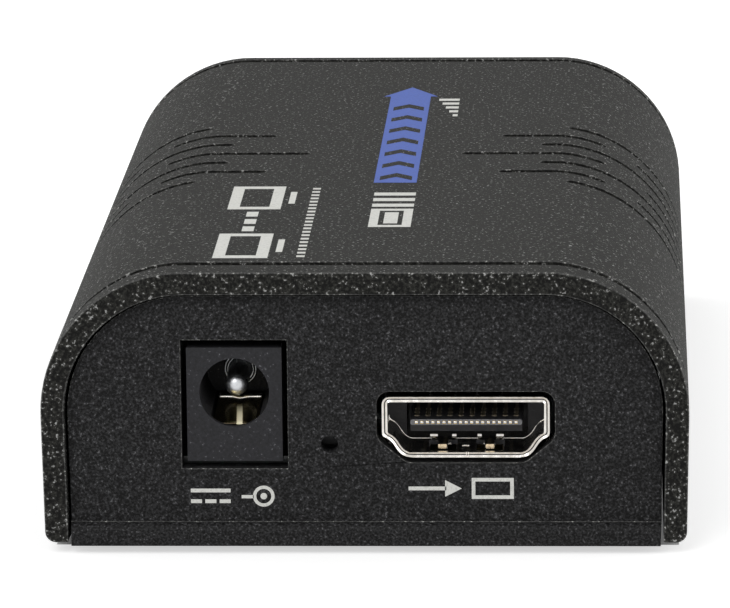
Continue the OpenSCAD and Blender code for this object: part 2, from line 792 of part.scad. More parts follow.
module reset_switch_plunger() color("#1b1b1c") lift()
    block(reset_x, reset_y - plunger_out, board_top + reset_axis_h - plunger_h / 2, plunger_w,
        plunger_out + plunger_in, plunger_h);

module reset_switch_cover() color("#c4c6c8") lift() {
    block(reset_x, reset_y, board_top + reset_h, reset_w + 2 * reset_sheet, reset_l, reset_sheet);
    for (s = [-1, 1])
        block(reset_x + s * (reset_w + reset_sheet) / 2, reset_y, board_top, reset_sheet, reset_l,
            reset_h + reset_sheet);
}

// Mouth and hollow of the network socket, to a depth, with the latch's notch below
module net_mouth(depth) {
    block(net_x, net_face - depth, plug_z, plug_w, depth + over, plug_h);
    block(net_x, net_face - depth, plug_z - latch_h, latch_w, depth + over, latch_h + over);
}

// Places of the two light windows beside the mouth
module net_windows(margin, depth) for (s = [-1, 1])
    block(net_x + s * window_x_gap, net_face - depth, window_z - margin,
        window_size[0] + 2 * margin, depth + margin, window_size[1] + 2 * margin);

module network_socket_shield() color("#cfd1d4") lift() difference() {
    union() {
        block(net_x, net_face - net_l, board_top, net_w, net_l, net_h);
        for (s = [-1, 1])
            block(net_x + s * (net_w - net_sheet) / 2, net_face - net_tab_y - net_tab_l / 2,
                board_z - terminal_out, net_sheet, net_tab_l, board_t + terminal_out + over);
    }
    block(net_x, net_face - net_l + net_sheet, board_top - over - board_t - terminal_out,
        net_w - 2 * net_sheet, net_l - 2 * net_sheet,
        over + board_t + terminal_out + net_h - net_sheet);
    net_mouth(2 * net_sheet);
    net_windows(play, 2 * net_sheet);
}

module network_socket_housing() color("#1b1b1d") lift() {
    front = net_face - net_sheet - play;
    ceiling = plug_z + plug_h;
    difference() {
        block(net_x, net_face - net_l + net_sheet + play, board_top + play,
            net_w - 2 * net_sheet - 2 * play, net_l - 2 * net_sheet - 2 * play,
            net_h - net_sheet - 2 * play);
        net_mouth(plug_l);
        net_windows(play, window_t + play);
        for (i = [0 : wire_count - 1]) {
            block(net_pin_x(i), front - wire_knee[0] - comb_play, ceiling - over, wire_w + 4 * play,
                wire_knee[0] - wire_root[0] + 2 * comb_play, over + wire_root[1] + comb_play);
            rod_z(net_pin_x(i), net_pin_y(i), board_top - over, board_top + net_pin_h + play,
                net_pin_d + 2 * play);
        }
    }
}

module network_socket_contacts() color("#d6b65c") lift() {
    front = net_face - net_sheet - play;
    ceiling = plug_z + plug_h;
    path = [for (p = [wire_root, wire_knee, wire_tip]) [front - p[0], ceiling + p[1]]];
    for (i = [0 : wire_count - 1]) along_x(net_pin_x(i), wire_w) polygon(strip(path, wire_t));
}

module network_socket_pins() color("#c8c8cc") lift() for (i = [0 : wire_count - 1])
    rod_z(net_pin_x(i), net_pin_y(i), board_z - net_pin_out, board_top + net_pin_h, net_pin_d);

module network_socket_windows() color("#b8c890") lift() net_windows(0, window_t);

module infrared_jack_housing() color("#202022") lift() difference() {
    union() {
        block(ir_x, ir_body_y - ir_l, board_top, ir_w, ir_l, ir_h);
        rod_y(ir_x, board_top + ir_axis_h, ir_body_y - over, ir_face, ir_nose_d);
    }
    rod_y(ir_x, board_top + ir_axis_h, ir_face - ir_bore_l - over, ir_face + over, ir_bore_d);
    rod_y(ir_x, board_top + ir_axis_h, ir_face - ir_chamber_l, ir_face - ir_bore_l, ir_chamber_d);
    block(ir_x + (ir_w / 2 - ir_side_wall) / 2, ir_face - ir_chamber_l,
        board_top + ir_axis_h - ir_spring_h / 2 - ir_slot_play, ir_w / 2 - ir_side_wall,
        ir_chamber_l - ir_spring_root[1] + ir_plate_t + 2 * ir_slot_play,
        ir_spring_h + 2 * ir_slot_play);
    block(ir_x + ir_spring_root[0], ir_plate_y - ir_plate_t / 2 - play, board_top - over,
        ir_plate_t + 2 * play, ir_plate_t + 2 * play, over + ir_axis_h);
    for (p = ir_pins)
        rod_z(ir_x + p[0], ir_face - p[1], board_top - over, board_top + ir_pin_h + play,
            ir_pin_d + 2 * play);
}

module infrared_jack_spring() color("#cdb36a") lift() {
    path = [for (p = [ir_spring_root, ir_spring_bump, ir_spring_tip]) [ir_x + p[0], ir_face - p[1]]];
    translate([0, 0, board_top + ir_axis_h - ir_spring_h / 2]) linear_extrude(ir_spring_h)
        polygon(strip(path, ir_spring_t));
}

module infrared_jack_terminals() color("#c8c8cc") lift() {
    for (p = ir_pins)
        rod_z(ir_x + p[0], ir_face - p[1], board_z - terminal_out, board_top + ir_pin_h, ir_pin_d);
    block(ir_x + ir_spring_root[0], ir_plate_y - ir_plate_t / 2, board_z - terminal_out, ir_plate_t,
        ir_plate_t, board_t + terminal_out + ir_axis_h + ir_spring_h / 2);
}

module status_lamps() color("#7fae5a") lift() for (x = lamp_places) {
    z = board_top + lamp_axis_h;
    tip = back_y - lamp_setback - lamp_d / 2;
    rod_y(x, z, back_y - lamp_setback - lamp_l, tip, lamp_d);
    translate([x, tip, z]) sphere(d = lamp_d);
    rod_y(x, z, back_y - lamp_setback - lamp_l, back_y - lamp_setback - lamp_l + lamp_flange_t,
        lamp_flange_d);
}

module status_lamp_legs() color("#c8c8cc") lift() for (x = lamp_places, s = [-1, 1]) {
    z = board_top + lamp_axis_h;
    block(x + s * lamp_leg_pitch / 2, lamp_leg_y - lamp_leg / 2, z - lamp_leg / 2, lamp_leg,
        lamp_leg_bend + lamp_leg / 2, lamp_leg);
    block(x + s * lamp_leg_pitch / 2, lamp_leg_y - lamp_leg / 2, board_z - terminal_out, lamp_leg,
        lamp_leg, z + lamp_leg / 2 - board_z + terminal_out);
}

// Flat block on the board, with its middle at a place
module on_board(share, size) translate(board_place(share)) translate([-size[0] / 2, -size[1] / 2, 0])
    cube(size);

module processor_chip() color("#1a1a1c") lift() on_board(chip_share, [chip_w, chip_w, chip_t]);

module thermal_pad() color("#9aa7b0") lift() translate([0, 0, chip_t])
    on_board(chip_share, [chip_w * pad_share, chip_w * pad_share, pad_t]);

module heat_sink() color("#a9acb0") lift() translate(board_place(chip_share))
    translate([-sink_w / 2, -sink_w / 2, chip_t + pad_t]) {
        cube([sink_w, sink_w, sink_base_t]);
        for (i = [0 : fin_count - 1])
            translate([i * (sink_w - fin_t) / (fin_count - 1), 0, 0]) cube([fin_t, sink_w, sink_h]);
    }

module receiver_chip() color("#1a1a1c") lift()
    translate([receiver_x_share * board_w / 2 - receiver_size[0] / 2, receiver_y - receiver_size[1] / 2,
        board_top]) cube(receiver_size);

module memory_chip() color("#1a1a1c") lift() on_board(memory_share, memory_size);

// Chip body raised on its legs
module raised(share, size) translate([0, 0, leg_t]) on_board(share, size);

module flash_chip() color("#1a1a1c") lift() raised(flash_share, flash_size);

module network_chip() color("#1a1a1c") lift() on_board(network_share, network_size);

module network_transformer() color("#1f1f22") lift() raised(transformer_share, transformer_size);

module voltage_regulators() color("#1a1a1c") lift()
    for (share = regulator_shares) raised(share, regulator_size);

module crystals() color("#b9bcc0") lift() for (i = [0, 1])
    translate(board_place(crystal_shares[i])) rotate([0, 0, 90 * i]) linear_extrude(crystal_size[2]) {
        straight = crystal_size[0] - crystal_size[1];
        square([straight, crystal_size[1]], center = true);
        for (s = [-1, 1]) translate([s * straight / 2, 0]) circle(d = crystal_size[1]);
    }

module power_inductors() color("#4a4a4e") lift() for (share = inductor_shares)
    translate(board_place(share)) linear_extrude(inductor_size[2]) {
        half = inductor_size / 2;
        polygon(rounded([[-half[0], -half[1]], [half[0], -half[1]], [half[0], half[1]],
            [-half[0], half[1]]], [for (k = [0 : 3]) inductor_r]));
    }

module electrolytic_capacitors() color("#b4b7bb") lift() for (share = electrolytic_x_shares)
    translate([share * board_w / 2, electrolytic_y, board_top]) {
        cylinder(h = can_h, d = can_d);
        translate([-can_base / 2, -can_base / 2, 0]) cube([can_base, can_base, can_base_t]);
    }

module input_fuse() color("#2f5f3f") lift() on_board(fuse_share, fuse_size);

// Row of equal small blocks, from a place, in steps along one direction
module small_row(share, size, count, step) for (i = [0 : count - 1])
    translate(i * step) on_board(share, size);

module chip_capacitors() color("#a08560") lift() {
    small_row(capacitor_row_shares[0], capacitor_size, capacitor_count, [0, small_pitch, 0]);
    small_row(capacitor_row_shares[1], capacitor_size, capacitor_count, [0, small_pitch, 0]);
}

module chip_resistors() color("#2a2a2e") lift() {
    small_row(resistor_row_shares[0], resistor_size, resistor_count, [small_pitch, 0, 0]);
    small_row(resistor_row_shares[1], resistor_size, resistor_count, [small_pitch, 0, 0]);
}

// Bent legs along both long sides of a chip that stands on them
module legs(share, size, count) translate(board_place(share)) {
    rise = leg_t + size[2] * leg_rise_share;
    pitch = size[0] / count;
    for (s = [-1, 1], i = [0 : count - 1]) mirror([0, s < 0 ? 1 : 0, 0])
        along_x(pitch * (i - (count - 1) / 2), leg_w) polygon([
            [size[1] / 2 + leg_gap, rise - leg_t], [size[1] / 2 + leg_out / 3, rise - leg_t],
            [size[1] / 2 + leg_out / 3, 0], [size[1] / 2 + leg_out, 0],
            [size[1] / 2 + leg_out, leg_t], [size[1] / 2 + leg_out / 3 + leg_t, leg_t],
            [size[1] / 2 + leg_out / 3 + leg_t, rise], [size[1] / 2 + leg_gap, rise]
        ]);
}

module chip_legs() color("#c8c8cc") lift() {
    legs(flash_share, flash_size, 4);
    legs(transformer_share, transformer_size, 8);
    for (share = regulator_shares) legs(share, regulator_size, 3);
}

top_cover();
base_shell();
rubber_feet();
cover_screws();
main_board();
video_socket_shield();
video_socket_insulator();
video_socket_contacts();
dc_jack_housing();
dc_jack_pin();
dc_jack_spring();
dc_jack_spring_terminal();
dc_jack_switch_contact();
reset_switch_body();
reset_switch_plunger();
reset_switch_cover();
network_socket_shield();
network_socket_housing();
network_socket_contacts();
network_socket_pins();
network_socket_windows();
infrared_jack_housing();
infrared_jack_spring();
infrared_jack_terminals();
status_lamps();
status_lamp_legs();
processor_chip();
thermal_pad();
heat_sink();
receiver_chip();
memory_chip();
flash_chip();
network_chip();
network_transformer();
crystals();
power_inductors();
electrolytic_capacitors();
voltage_regulators();
input_fuse();
chip_capacitors();
chip_resistors();
chip_legs();
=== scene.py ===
# Looks of the video extender box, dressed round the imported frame.
# Metres. X runs across, Y from the front panel to the back, Z up from the table.
import json
import math

import bmesh
import bpy
from mathutils import Matrix, Vector
from mathutils.bvhtree import BVHTree

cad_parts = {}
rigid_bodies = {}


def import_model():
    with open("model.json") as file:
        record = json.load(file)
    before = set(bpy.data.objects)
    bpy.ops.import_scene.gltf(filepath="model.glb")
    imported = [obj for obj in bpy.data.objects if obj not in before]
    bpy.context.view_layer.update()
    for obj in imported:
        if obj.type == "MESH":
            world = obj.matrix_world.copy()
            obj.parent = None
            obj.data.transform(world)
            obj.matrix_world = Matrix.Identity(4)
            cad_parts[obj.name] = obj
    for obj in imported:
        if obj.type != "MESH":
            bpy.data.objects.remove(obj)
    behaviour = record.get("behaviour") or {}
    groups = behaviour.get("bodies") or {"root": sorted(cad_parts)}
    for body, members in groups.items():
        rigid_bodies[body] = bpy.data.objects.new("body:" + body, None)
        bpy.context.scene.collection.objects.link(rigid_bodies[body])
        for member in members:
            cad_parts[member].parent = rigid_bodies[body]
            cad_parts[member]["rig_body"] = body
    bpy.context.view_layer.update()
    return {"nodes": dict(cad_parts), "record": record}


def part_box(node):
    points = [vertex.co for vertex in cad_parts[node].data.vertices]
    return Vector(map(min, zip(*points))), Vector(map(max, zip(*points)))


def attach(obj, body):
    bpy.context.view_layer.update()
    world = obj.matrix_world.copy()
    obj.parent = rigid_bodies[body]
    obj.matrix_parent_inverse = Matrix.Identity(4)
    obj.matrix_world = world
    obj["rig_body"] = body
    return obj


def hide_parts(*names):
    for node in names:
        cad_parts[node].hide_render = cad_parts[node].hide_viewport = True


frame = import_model()
MM = 0.001
slot_of = {part["node"]: part["material_slot"] for part in frame["record"]["subparts"]}

# Places that the CAD gives
cover_low, cover_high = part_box("top_cover")
base_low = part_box("base_shell")[0]
shield_low, shield_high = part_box("video_socket_shield")
block_low, block_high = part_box("video_socket_insulator")
jack_low, jack_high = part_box("dc_jack_housing")
leaf_low, leaf_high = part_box("dc_jack_spring")
plunger_low, plunger_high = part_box("reset_switch_plunger")
pin_low, pin_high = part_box("dc_jack_pin")
FACE_Y = shield_low.y
TOP_Z = cover_high.z
BASE_Z = base_low.z
VIDEO_X = (shield_low.x + shield_high.x) / 2
VIDEO_W = shield_high.x - shield_low.x
SHIELD_GAP = 0.45 * MM  # from the shield's outside to the insulator
VIDEO_Z = block_low.z - SHIELD_GAP
VIDEO_H = 5.6 * MM
JACK_X = (jack_low.x + jack_high.x) / 2
PINHOLE_X = (plunger_low.x + plunger_high.x) / 2
PRINT_T = 0.02 * MM

# Materials


def linear(code):
    """Linear colour of an sRGB hex code."""
    parts = [int(code[i : i + 2], 16) / 255 for i in (1, 3, 5)]
    return [p / 12.92 if p <= 0.04045 else ((p + 0.055) / 1.055) ** 2.4 for p in parts] + [1]


def add(tree, kind, sockets=None, **settings):
    """Adds a shader node, sets its properties, and fills or links its sockets."""
    node = tree.nodes.new("ShaderNode" + kind)
    for name, value in settings.items():
        setattr(node, name, value)
    for name, value in (sockets or {}).items():
        if isinstance(value, bpy.types.NodeSocket):
            tree.links.new(value, node.inputs[name])
        else:
            node.inputs[name].default_value = value
    return node


def surface(name, **sockets):
    """New material whose shader has the given constants; returns it with its tree and shader."""
    material = bpy.data.materials.new(name)
    material.use_nodes = True
    tree = material.node_tree
    shader = tree.nodes["Principled BSDF"]
    for socket, value in sockets.items():
        shader.inputs[socket.replace("_", " ")].default_value = value
    return material, tree, shader


def grain(tree, shader, width, dark, light, depth, low=0.35, high=0.68, rough=None, stretch=(1, 1, 1),
          speck=None):
    """Grains of a real width: two tones, a relief of a real depth, uneven gloss and bright specks."""
    place = add(tree, "TexCoord").outputs["Object"]
    spread = add(tree, "Mapping", {"Vector": place, "Scale": stretch})
    noise = add(tree, "TexNoise", {"Vector": spread.outputs[0], "Scale": 1 / width, "Detail": 2.5,
                                   "Roughness": 0.6})
    ramp = add(tree, "ValToRGB", {"Fac": noise.outputs[0]})
    ramp.color_ramp.elements[0].position = low
    ramp.color_ramp.elements[0].color = linear(dark)
    ramp.color_ramp.elements[1].position = high
    ramp.color_ramp.elements[1].color = linear(light)
    if speck:
        ramp.color_ramp.elements.new(high + 0.07).color = linear(speck)
    tree.links.new(ramp.outputs[0], shader.inputs["Base Color"])
    bump = add(tree, "Bump", {"Height": noise.outputs[0], "Distance": depth, "Strength": 1.0})
    tree.links.new(bump.outputs[0], shader.inputs["Normal"])
    if rough:
        gloss = add(tree, "MapRange", {"Value": noise.outputs[0], "From Min": low, "From Max": high,
                                       "To Min": rough[0], "To Max": rough[1]})
        tree.links.new(gloss.outputs[0], shader.inputs["Roughness"])


def moulded(name, dark, light, width, depth, rough, level=0.3, low=0.35, high=0.68, speck=None):
    """Moulded plastic with a grain."""
    material, tree, shader = surface(name, Specular_IOR_Level=level)
    grain(tree, shader, width, dark, light, depth, low, high, rough, speck=speck)
    return material


def plated(name, dark, light, rough, width=0.6 * MM, depth=0.002 * MM, stretch=(1, 1, 1)):
    """Bare or plated metal with faint unevenness."""
    material, tree, shader = surface(name, Metallic=1.0)
    grain(tree, shader, width, dark, light, depth, 0.3, 0.7, rough, stretch)
    return material


def laminate(name):
    """Epoxy glass board under black solder resist: glossy, with copper runs that show paler through it."""
    material, tree, shader = surface(name, Roughness=0.32, Coat_Weight=0.4, Coat_Roughness=0.15)
    run_pitch, pad_pitch = 4 * MM, 1.8 * MM
    place = add(tree, "TexCoord").outputs["Object"]
    runs = add(tree, "TexBrick", {
        "Vector": place, "Scale": 1 / run_pitch, "Color1": linear("#101613"), "Color2": linear("#0c110f"),
        "Mortar": linear("#1c2822"), "Mortar Size": 0.035, "Row Height": 0.22})
    pads = add(tree, "TexVoronoi", {"Vector": place, "Scale": 1 / pad_pitch})
    hole = add(tree, "Math", {0: pads.outputs["Distance"], 1: 0.13}, operation="LESS_THAN")
    mix = add(tree, "Mix", {0: hole.outputs[0], 6: runs.outputs[0], 7: linear("#b9b18a")}, data_type="RGBA")
    tree.links.new(mix.outputs[2], shader.inputs["Base Color"])
    relief = add(tree, "Bump", {"Height": runs.outputs["Fac"], "Distance": 0.03 * MM})
    tree.links.new(relief.outputs[0], shader.inputs["Normal"])
    return material


def clear_resin(name, dark, light):
    """Tinted clear resin, such as a lamp body: light passes, with small flow marks inside."""
    material, tree, shader = surface(name, Transmission_Weight=0.55, IOR=1.53)
    grain(tree, shader, 0.9 * MM, dark, light, 0.004 * MM, rough=(0.12, 0.3))
    return material


FINISHES = {
    # ABS from a spark-eroded mould, dyed a warm dark grey: matte, with a fine sparkle at a low angle from
    # its relief, and pale specks in its colour that are painted glints
    "cover_plastic": moulded("abs_leather_grain", "#0c0c0b", "#343431", 0.3 * MM, 0.1 * MM, (0.7, 0.88),
                             0.12, 0.42, 0.62, "#9c9c9b"),
    # ABS from a finer spark-eroded mould, near black, with pale specks in its colour that are painted
    # glints on single grains
    "base_plastic": moulded("abs_spark_eroded", "#0c0c0c", "#363637", 0.22 * MM, 0.06 * MM, (0.6, 0.85),
                            0.12, 0.42, 0.64, "#626264"),
    # Moulded rubber: dead matte, with a little dust
    "foot_rubber": moulded("rubber_moulded", "#141414", "#202020", 0.3 * MM, 0.01 * MM, (0.8, 0.95), 0.2),
    # Zinc-plated steel: bright, slightly blue, with drawing marks
    "screw_steel": plated("steel_zinc_plated", "#8e9094", "#a8abb0", (0.25, 0.42), 0.4 * MM),
    "board_laminate": laminate("epoxy_glass_laminate"),
    # Nickel-plated stamped sheet: mirror-bright with faint rolling marks
    "plated_sheet": plated("nickel_plated_sheet", "#cfcac2", "#e6e3de", (0.12, 0.24), 0.5 * MM),
    # Tin-plated brass: soft whitish shine
    "tinned_metal": plated("brass_tin_plated", "#b9bbbe", "#cfd1d3", (0.25, 0.45), 0.3 * MM),
    # Flash gold over nickel: warm yellow, bright
    "contact_gold": plated("gold_flash_plated", "#c8a24e", "#e2c47a", (0.16, 0.3), 0.2 * MM),
    # Hard-rolled phosphor bronze: brownish yellow, with rolling lines
    "spring_brass": plated("bronze_rolled_strip", "#a98a4e", "#c9ab6c", (0.14, 0.28), 0.25 * MM),
    # Glass-filled polyester: black, with a dull silky face
    "socket_plastic": moulded("polyester_glass_filled", "#1d1d1f", "#2b2b2f", 0.25 * MM, 0.006 * MM,
                              (0.35, 0.55)),
    # Smooth moulded polyamide: dark grey with a flat sheen and a few pale specks in its colour
    "jack_plastic": moulded("polyamide_smooth", "#1a1a1c", "#29292c", 0.24 * MM, 0.02 * MM, (0.45, 0.6),
                            0.2, 0.35, 0.66, "#6a6a6e"),
    # Acetal: black, waxy
    "plunger_plastic": moulded("acetal_black", "#0c0c0d", "#151516", 0.4 * MM, 0.003 * MM, (0.35, 0.5)),
    "lamp_resin": clear_resin("epoxy_clear_green", "#8fae6a", "#a9c684"),
    # Moulded chip epoxy: dull black with a fine grit
    "chip_resin": moulded("epoxy_chip_matte", "#151516", "#242426", 0.12 * MM, 0.008 * MM, (0.5, 0.7)),
    # Filled silicone: pale grey, soft and dull
    "pad_silicone": moulded("silicone_filled", "#8e9aa3", "#a7b2ba", 0.25 * MM, 0.01 * MM, (0.6, 0.8)),
    # Extruded aluminium, anodised clear: satin with lines along the extrusion
    "sink_aluminium": plated("aluminium_anodised", "#9b9fa3", "#b3b7bb", (0.35, 0.5), 0.3 * MM,
                             0.004 * MM, (1, 0.08, 1)),
    # Pressed ferrite powder: charcoal, slightly rough
    "ferrite": moulded("ferrite_pressed", "#3a3a3d", "#4f4f53", 0.15 * MM, 0.01 * MM, (0.5, 0.75)),
    # Drawn aluminium can: satin silver
    "can_aluminium": plated("aluminium_drawn", "#aeb1b5", "#c3c6c9", (0.25, 0.4), 0.3 * MM),
    # Coated fuse body: dull green
    "fuse_resin": moulded("resin_coated_green", "#2a573a", "#3a6d4b", 0.2 * MM, 0.005 * MM, (0.4, 0.6)),
    # Fired ceramic: tan, faintly glossy
    "capacitor_ceramic": moulded("ceramic_fired_tan", "#8c6f4c", "#a98a63", 0.3 * MM, 0.004 * MM,
                                 (0.35, 0.5)),
    # Glazed resistor: black, glossy
    "resistor_body": moulded("resistor_glazed", "#1a1a1c", "#2b2b2f", 0.2 * MM, 0.004 * MM, (0.25, 0.4)),
}
# Pad-printed ink, white: flat and a little blotchy, so that it looks slightly worn
INK_WHITE = moulded("pad_ink_white", "#b9b9b4", "#d6d6d1", 0.2 * MM, 0.02 * MM, (0.55, 0.7), 0.2, 0.25, 0.5)
# Pad-printed ink, blue: flat, with the same blotches
INK_BLUE = moulded("pad_ink_blue", "#3d539c", "#5269b4", 0.2 * MM, 0.02 * MM, (0.55, 0.7), 0.2, 0.25, 0.6)
# Glass-filled polyester painted pale on the tongue's front edge, which faces the lamps: painted light
TONGUE_FACE_PAINTED_LIGHT = moulded("polyester_edge_painted_light", "#5c5c5e", "#7b7b7d", 0.2 * MM, 0.006 * MM, (0.4, 0.55))
# The casing's ABS painted paler on its rounded edges, with pale specks: a painted highlight, glints in a
# row
EDGE_PAINTED_HIGHLIGHT = moulded("abs_edge_painted_highlight", "#161615", "#525250", 0.3 * MM, 0.05 * MM, (0.5, 0.7), 0.3, 0.4, 0.6,
                "#a8a8a4")
# Gold flash rubbed dull over its nickel: brownish grey
BEAM_METAL = plated("gold_flash_rubbed", "#8c8374", "#b8ac96", (0.3, 0.5), 0.2 * MM)
# Nickel worn warm where plugs rub
WORN_TIP = plated("nickel_worn", "#b7a283", "#dccdb0", (0.2, 0.4), 0.2 * MM)


def leaf_bronze_worn_and_painted_light():
    """Bronze leaf with the track that plugs rub along it, rough between polished sides and near white:
    partly wear, partly painted highlight. Its crest is painted pale, a painted highlight, and its tip dark,
    painted shade.
    """
    material = plated("bronze_leaf_worn_and_painted_light", "#b5a06a", "#dccb9a", (0.12, 0.2), 0.25 * MM)
    tree = material.node_tree
    shader = tree.nodes["Principled BSDF"]
    spot = add(tree, "SeparateXYZ", {"Vector": add(tree, "TexCoord").outputs["Object"]})

    # The track starts beside the jack's middle, runs slightly askew, and ends before the crest
    lean, start_x, start_y = 0.055, JACK_X + 0.4 * MM, FACE_Y + 0.9 * MM
    drift = add(tree, "Math", {0: spot.outputs["Y"], 1: lean, 2: spot.outputs["X"]},
                operation="MULTIPLY_ADD")
    offset = add(tree, "Math", {0: drift.outputs[0], 1: -start_x - lean * start_y}, operation="ADD")
    reach = add(tree, "Math", {0: offset.outputs[0]}, operation="ABSOLUTE")
    front = add(tree, "MapRange", {"Value": spot.outputs["Y"], "From Min": FACE_Y + 5.5 * MM,
                                   "From Max": FACE_Y + 7 * MM, "To Min": 1.0, "To Max": 0.0})
    middle = add(tree, "MapRange", {"Value": reach.outputs[0], "From Min": 0.2 * MM, "From Max": 0.32 * MM,
                                    "To Min": 1.0, "To Max": 0.0})
    track = add(tree, "Math", {0: middle.outputs[0], 1: front.outputs[0]}, operation="MULTIPLY").outputs[0]

    # Painted highlight: the crest is painted pale. Painted shade: the tip is painted dark
    crest_highlight_share = add(tree, "MapRange", {"Value": spot.outputs["Y"], "From Min": FACE_Y + 7.6 * MM,
                                         "From Max": FACE_Y + 8.2 * MM})
    tip_shade_share = add(tree, "MapRange", {"Value": spot.outputs["Y"], "From Min": leaf_low.y + 0.15 * MM,
                                       "From Max": leaf_low.y + 0.3 * MM, "To Min": 1.0, "To Max": 0.0})
    strip = shader.inputs["Base Color"].links[0].from_socket
    gloss = shader.inputs["Roughness"].links[0].from_socket
    crest_painted_highlight = add(tree, "Mix", {0: crest_highlight_share.outputs[0], 6: strip, 7: linear("#f8f4ea")}, data_type="RGBA")
    tip_painted_shade = add(tree, "Mix", {0: tip_shade_share.outputs[0], 6: crest_painted_highlight.outputs[2], 7: linear("#4a4232")},
                 data_type="RGBA")
    # The track's near-white colour is partly wear and partly a painted highlight
    track_worn_and_painted_highlight = add(tree, "Mix", {0: track, 6: tip_painted_shade.outputs[2], 7: linear("#fff6d2")}, data_type="RGBA")
    dull = add(tree, "Mix", {0: track, 2: gloss, 3: 0.6})
    bare = add(tree, "Math", {0: 1.0, 1: track}, operation="SUBTRACT")
    tree.links.new(track_worn_and_painted_highlight.outputs[2], shader.inputs["Base Color"])
    tree.links.new(dull.outputs[0], shader.inputs["Roughness"])
    tree.links.new(bare.outputs[0], shader.inputs["Metallic"])
    return material


LEAF_BRONZE_WORN_AND_PAINTED_LIGHT = leaf_bronze_worn_and_painted_light()

# Pieces

SHARP = 32  # degrees past which an edge shades as a crease and can be rounded


def publish(bm, name, material, body="casing", instead=(), bevel=0, sharp=SHARP, arris=None):
    """Turns a finished bmesh into a piece. With an arris material, only marked edges are rounded, in it."""
    for edge in bm.edges:
        if len(edge.link_faces) == 2:
            edge.smooth = edge.calc_face_angle(0) < math.radians(sharp)
    for face in bm.faces:
        face.smooth = True
    mesh = bpy.data.meshes.new(name)
    bm.to_mesh(mesh)
    bm.free()
    piece = bpy.data.objects.new(name, mesh)
    bpy.context.scene.collection.objects.link(piece)
    mesh.materials.append(material)
    if bevel:
        rounding = piece.modifiers.new("rounding", "BEVEL")
        rounding.width = bevel
        rounding.segments = 2
        rounding.limit_method = "ANGLE"
        rounding.angle_limit = math.radians(sharp)
        rounding.harden_normals = True
        if arris:
            mesh.materials.append(arris)
            rounding.material = len(mesh.materials) - 1
            rounding.use_clamp_overlap = False
            rounding.limit_method = "WEIGHT"
    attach(piece, body)
    if instead:
        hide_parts(*instead)
    return piece


def merged(node, join_flats=True):
    """Copy of a CAD node, welded and with its flat faces joined. The cover's keeps a few open edges."""
    bm = bmesh.new()
    bm.from_mesh(frame["nodes"][node].data)
    bmesh.ops.remove_doubles(bm, verts=bm.verts, dist=0.0005 * MM)
    if join_flats:
        bmesh.ops.dissolve_limit(bm, angle_limit=math.radians(0.4), verts=bm.verts, edges=bm.edges)
    return bm


def dress(node, bevel, bm=None, sharp=SHARP, arris=None):
    """Piece that stands for a CAD node, with its edges rounded."""
    slot = slot_of[node]
    body = frame["nodes"][node]["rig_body"]
    return publish(bm or merged(node), node + "_piece", FINISHES[slot], body, [node], bevel, sharp,
                   arris)


def bar(bm, low, high):
    """Adds a block between two corners; returns its vertices."""
    low, high = Vector(low), Vector(high)
    size = high - low
    place = Matrix.Translation((low + high) / 2) @ Matrix.Diagonal((size.x, size.y, size.z, 1))
    return bmesh.ops.create_cube(bm, size=1, matrix=place)["verts"]


# The video socket's slanting flank, in X from the socket's middle and Z from its foot
FLANK_TOP = Vector((VIDEO_W / 2, 0.35 * VIDEO_H))
FLANK_FOOT = Vector((0.68 * VIDEO_W / 2, 0))
FLANK = FLANK_FOOT - FLANK_TOP
FLANK_IN = Vector((FLANK.y, -FLANK.x)).normalized()
FLANK_REACH = 0.8 * MM  # how far from the flank its wave still bends the sheet
FLANK_WAVE = 0.17 * MM
CORNER_R = 0.45 * MM


def socket_plate(bm, inset, y):
    """Adds the video socket's outline as one face at a depth; returns the face."""
    corners = [(-FLANK_FOOT.x, 0), (FLANK_FOOT.x, 0), (FLANK_TOP.x, FLANK_TOP.y), (FLANK_TOP.x, VIDEO_H),
               (-FLANK_TOP.x, VIDEO_H), (-FLANK_TOP.x, FLANK_TOP.y)]
    verts = [bm.verts.new((VIDEO_X + x, y, VIDEO_Z + z)) for x, z in corners]
    face = bm.faces.new(verts)
    bmesh.ops.inset_region(bm, faces=[face], thickness=inset, use_even_offset=True, use_boundary=True)
    bmesh.ops.delete(bm, geom=[f for f in bm.faces if f is not face], context="FACES")
    bmesh.ops.bevel(bm, geom=face.verts[:], offset=CORNER_R, segments=5, profile=0.5, affect="VERTICES",
                    material=-1, offset_type="OFFSET", clamp_overlap=True)
    return max(bm.faces, key=lambda f: f.calc_area())


def thicken(bm, faces, depth):
    """Extrudes faces along Y to make a closed solid."""
    made = bmesh.ops.extrude_face_region(bm, geom=faces, use_keep_orig=True)["geom"]
    moved = [g for g in made if isinstance(g, bmesh.types.BMVert)]
    bmesh.ops.translate(bm, verts=moved, vec=(0, depth, 0))
    bmesh.ops.recalc_face_normals(bm, faces=bm.faces)


def flank_place(co):
    """Share of the way down the socket's slanting flank, and distance inwards from it."""
    spot = Vector((abs(co.x - VIDEO_X), co.z - VIDEO_Z)) - FLANK_TOP
    return spot.dot(FLANK) / FLANK.length_squared, spot.dot(FLANK_IN)


def wave_flanks(bm):
    """Bends the socket's two slanting flanks into their soft S."""
    along = []
    for edge in bm.edges:
        span = edge.verts[1].co - edge.verts[0].co
        middle, depth = flank_place((edge.verts[0].co + edge.verts[1].co) / 2)
        level = abs(span.y) < 0.01 * MM
        if span.length > 1.2 * MM and level and 0 < middle < 1 and abs(depth) < FLANK_REACH:
            along.append(edge)
    bmesh.ops.subdivide_edges(bm, edges=along, cuts=11)
    for vert in bm.verts:
        share, depth = flank_place(vert.co)
        if 0 < share < 1 and abs(depth) < FLANK_REACH:
            push = FLANK_WAVE * math.sin(2 * math.pi * share)
            vert.co.x += push * FLANK_IN.x * (1 if vert.co.x > VIDEO_X else -1)
            vert.co.z += push * FLANK_IN.y


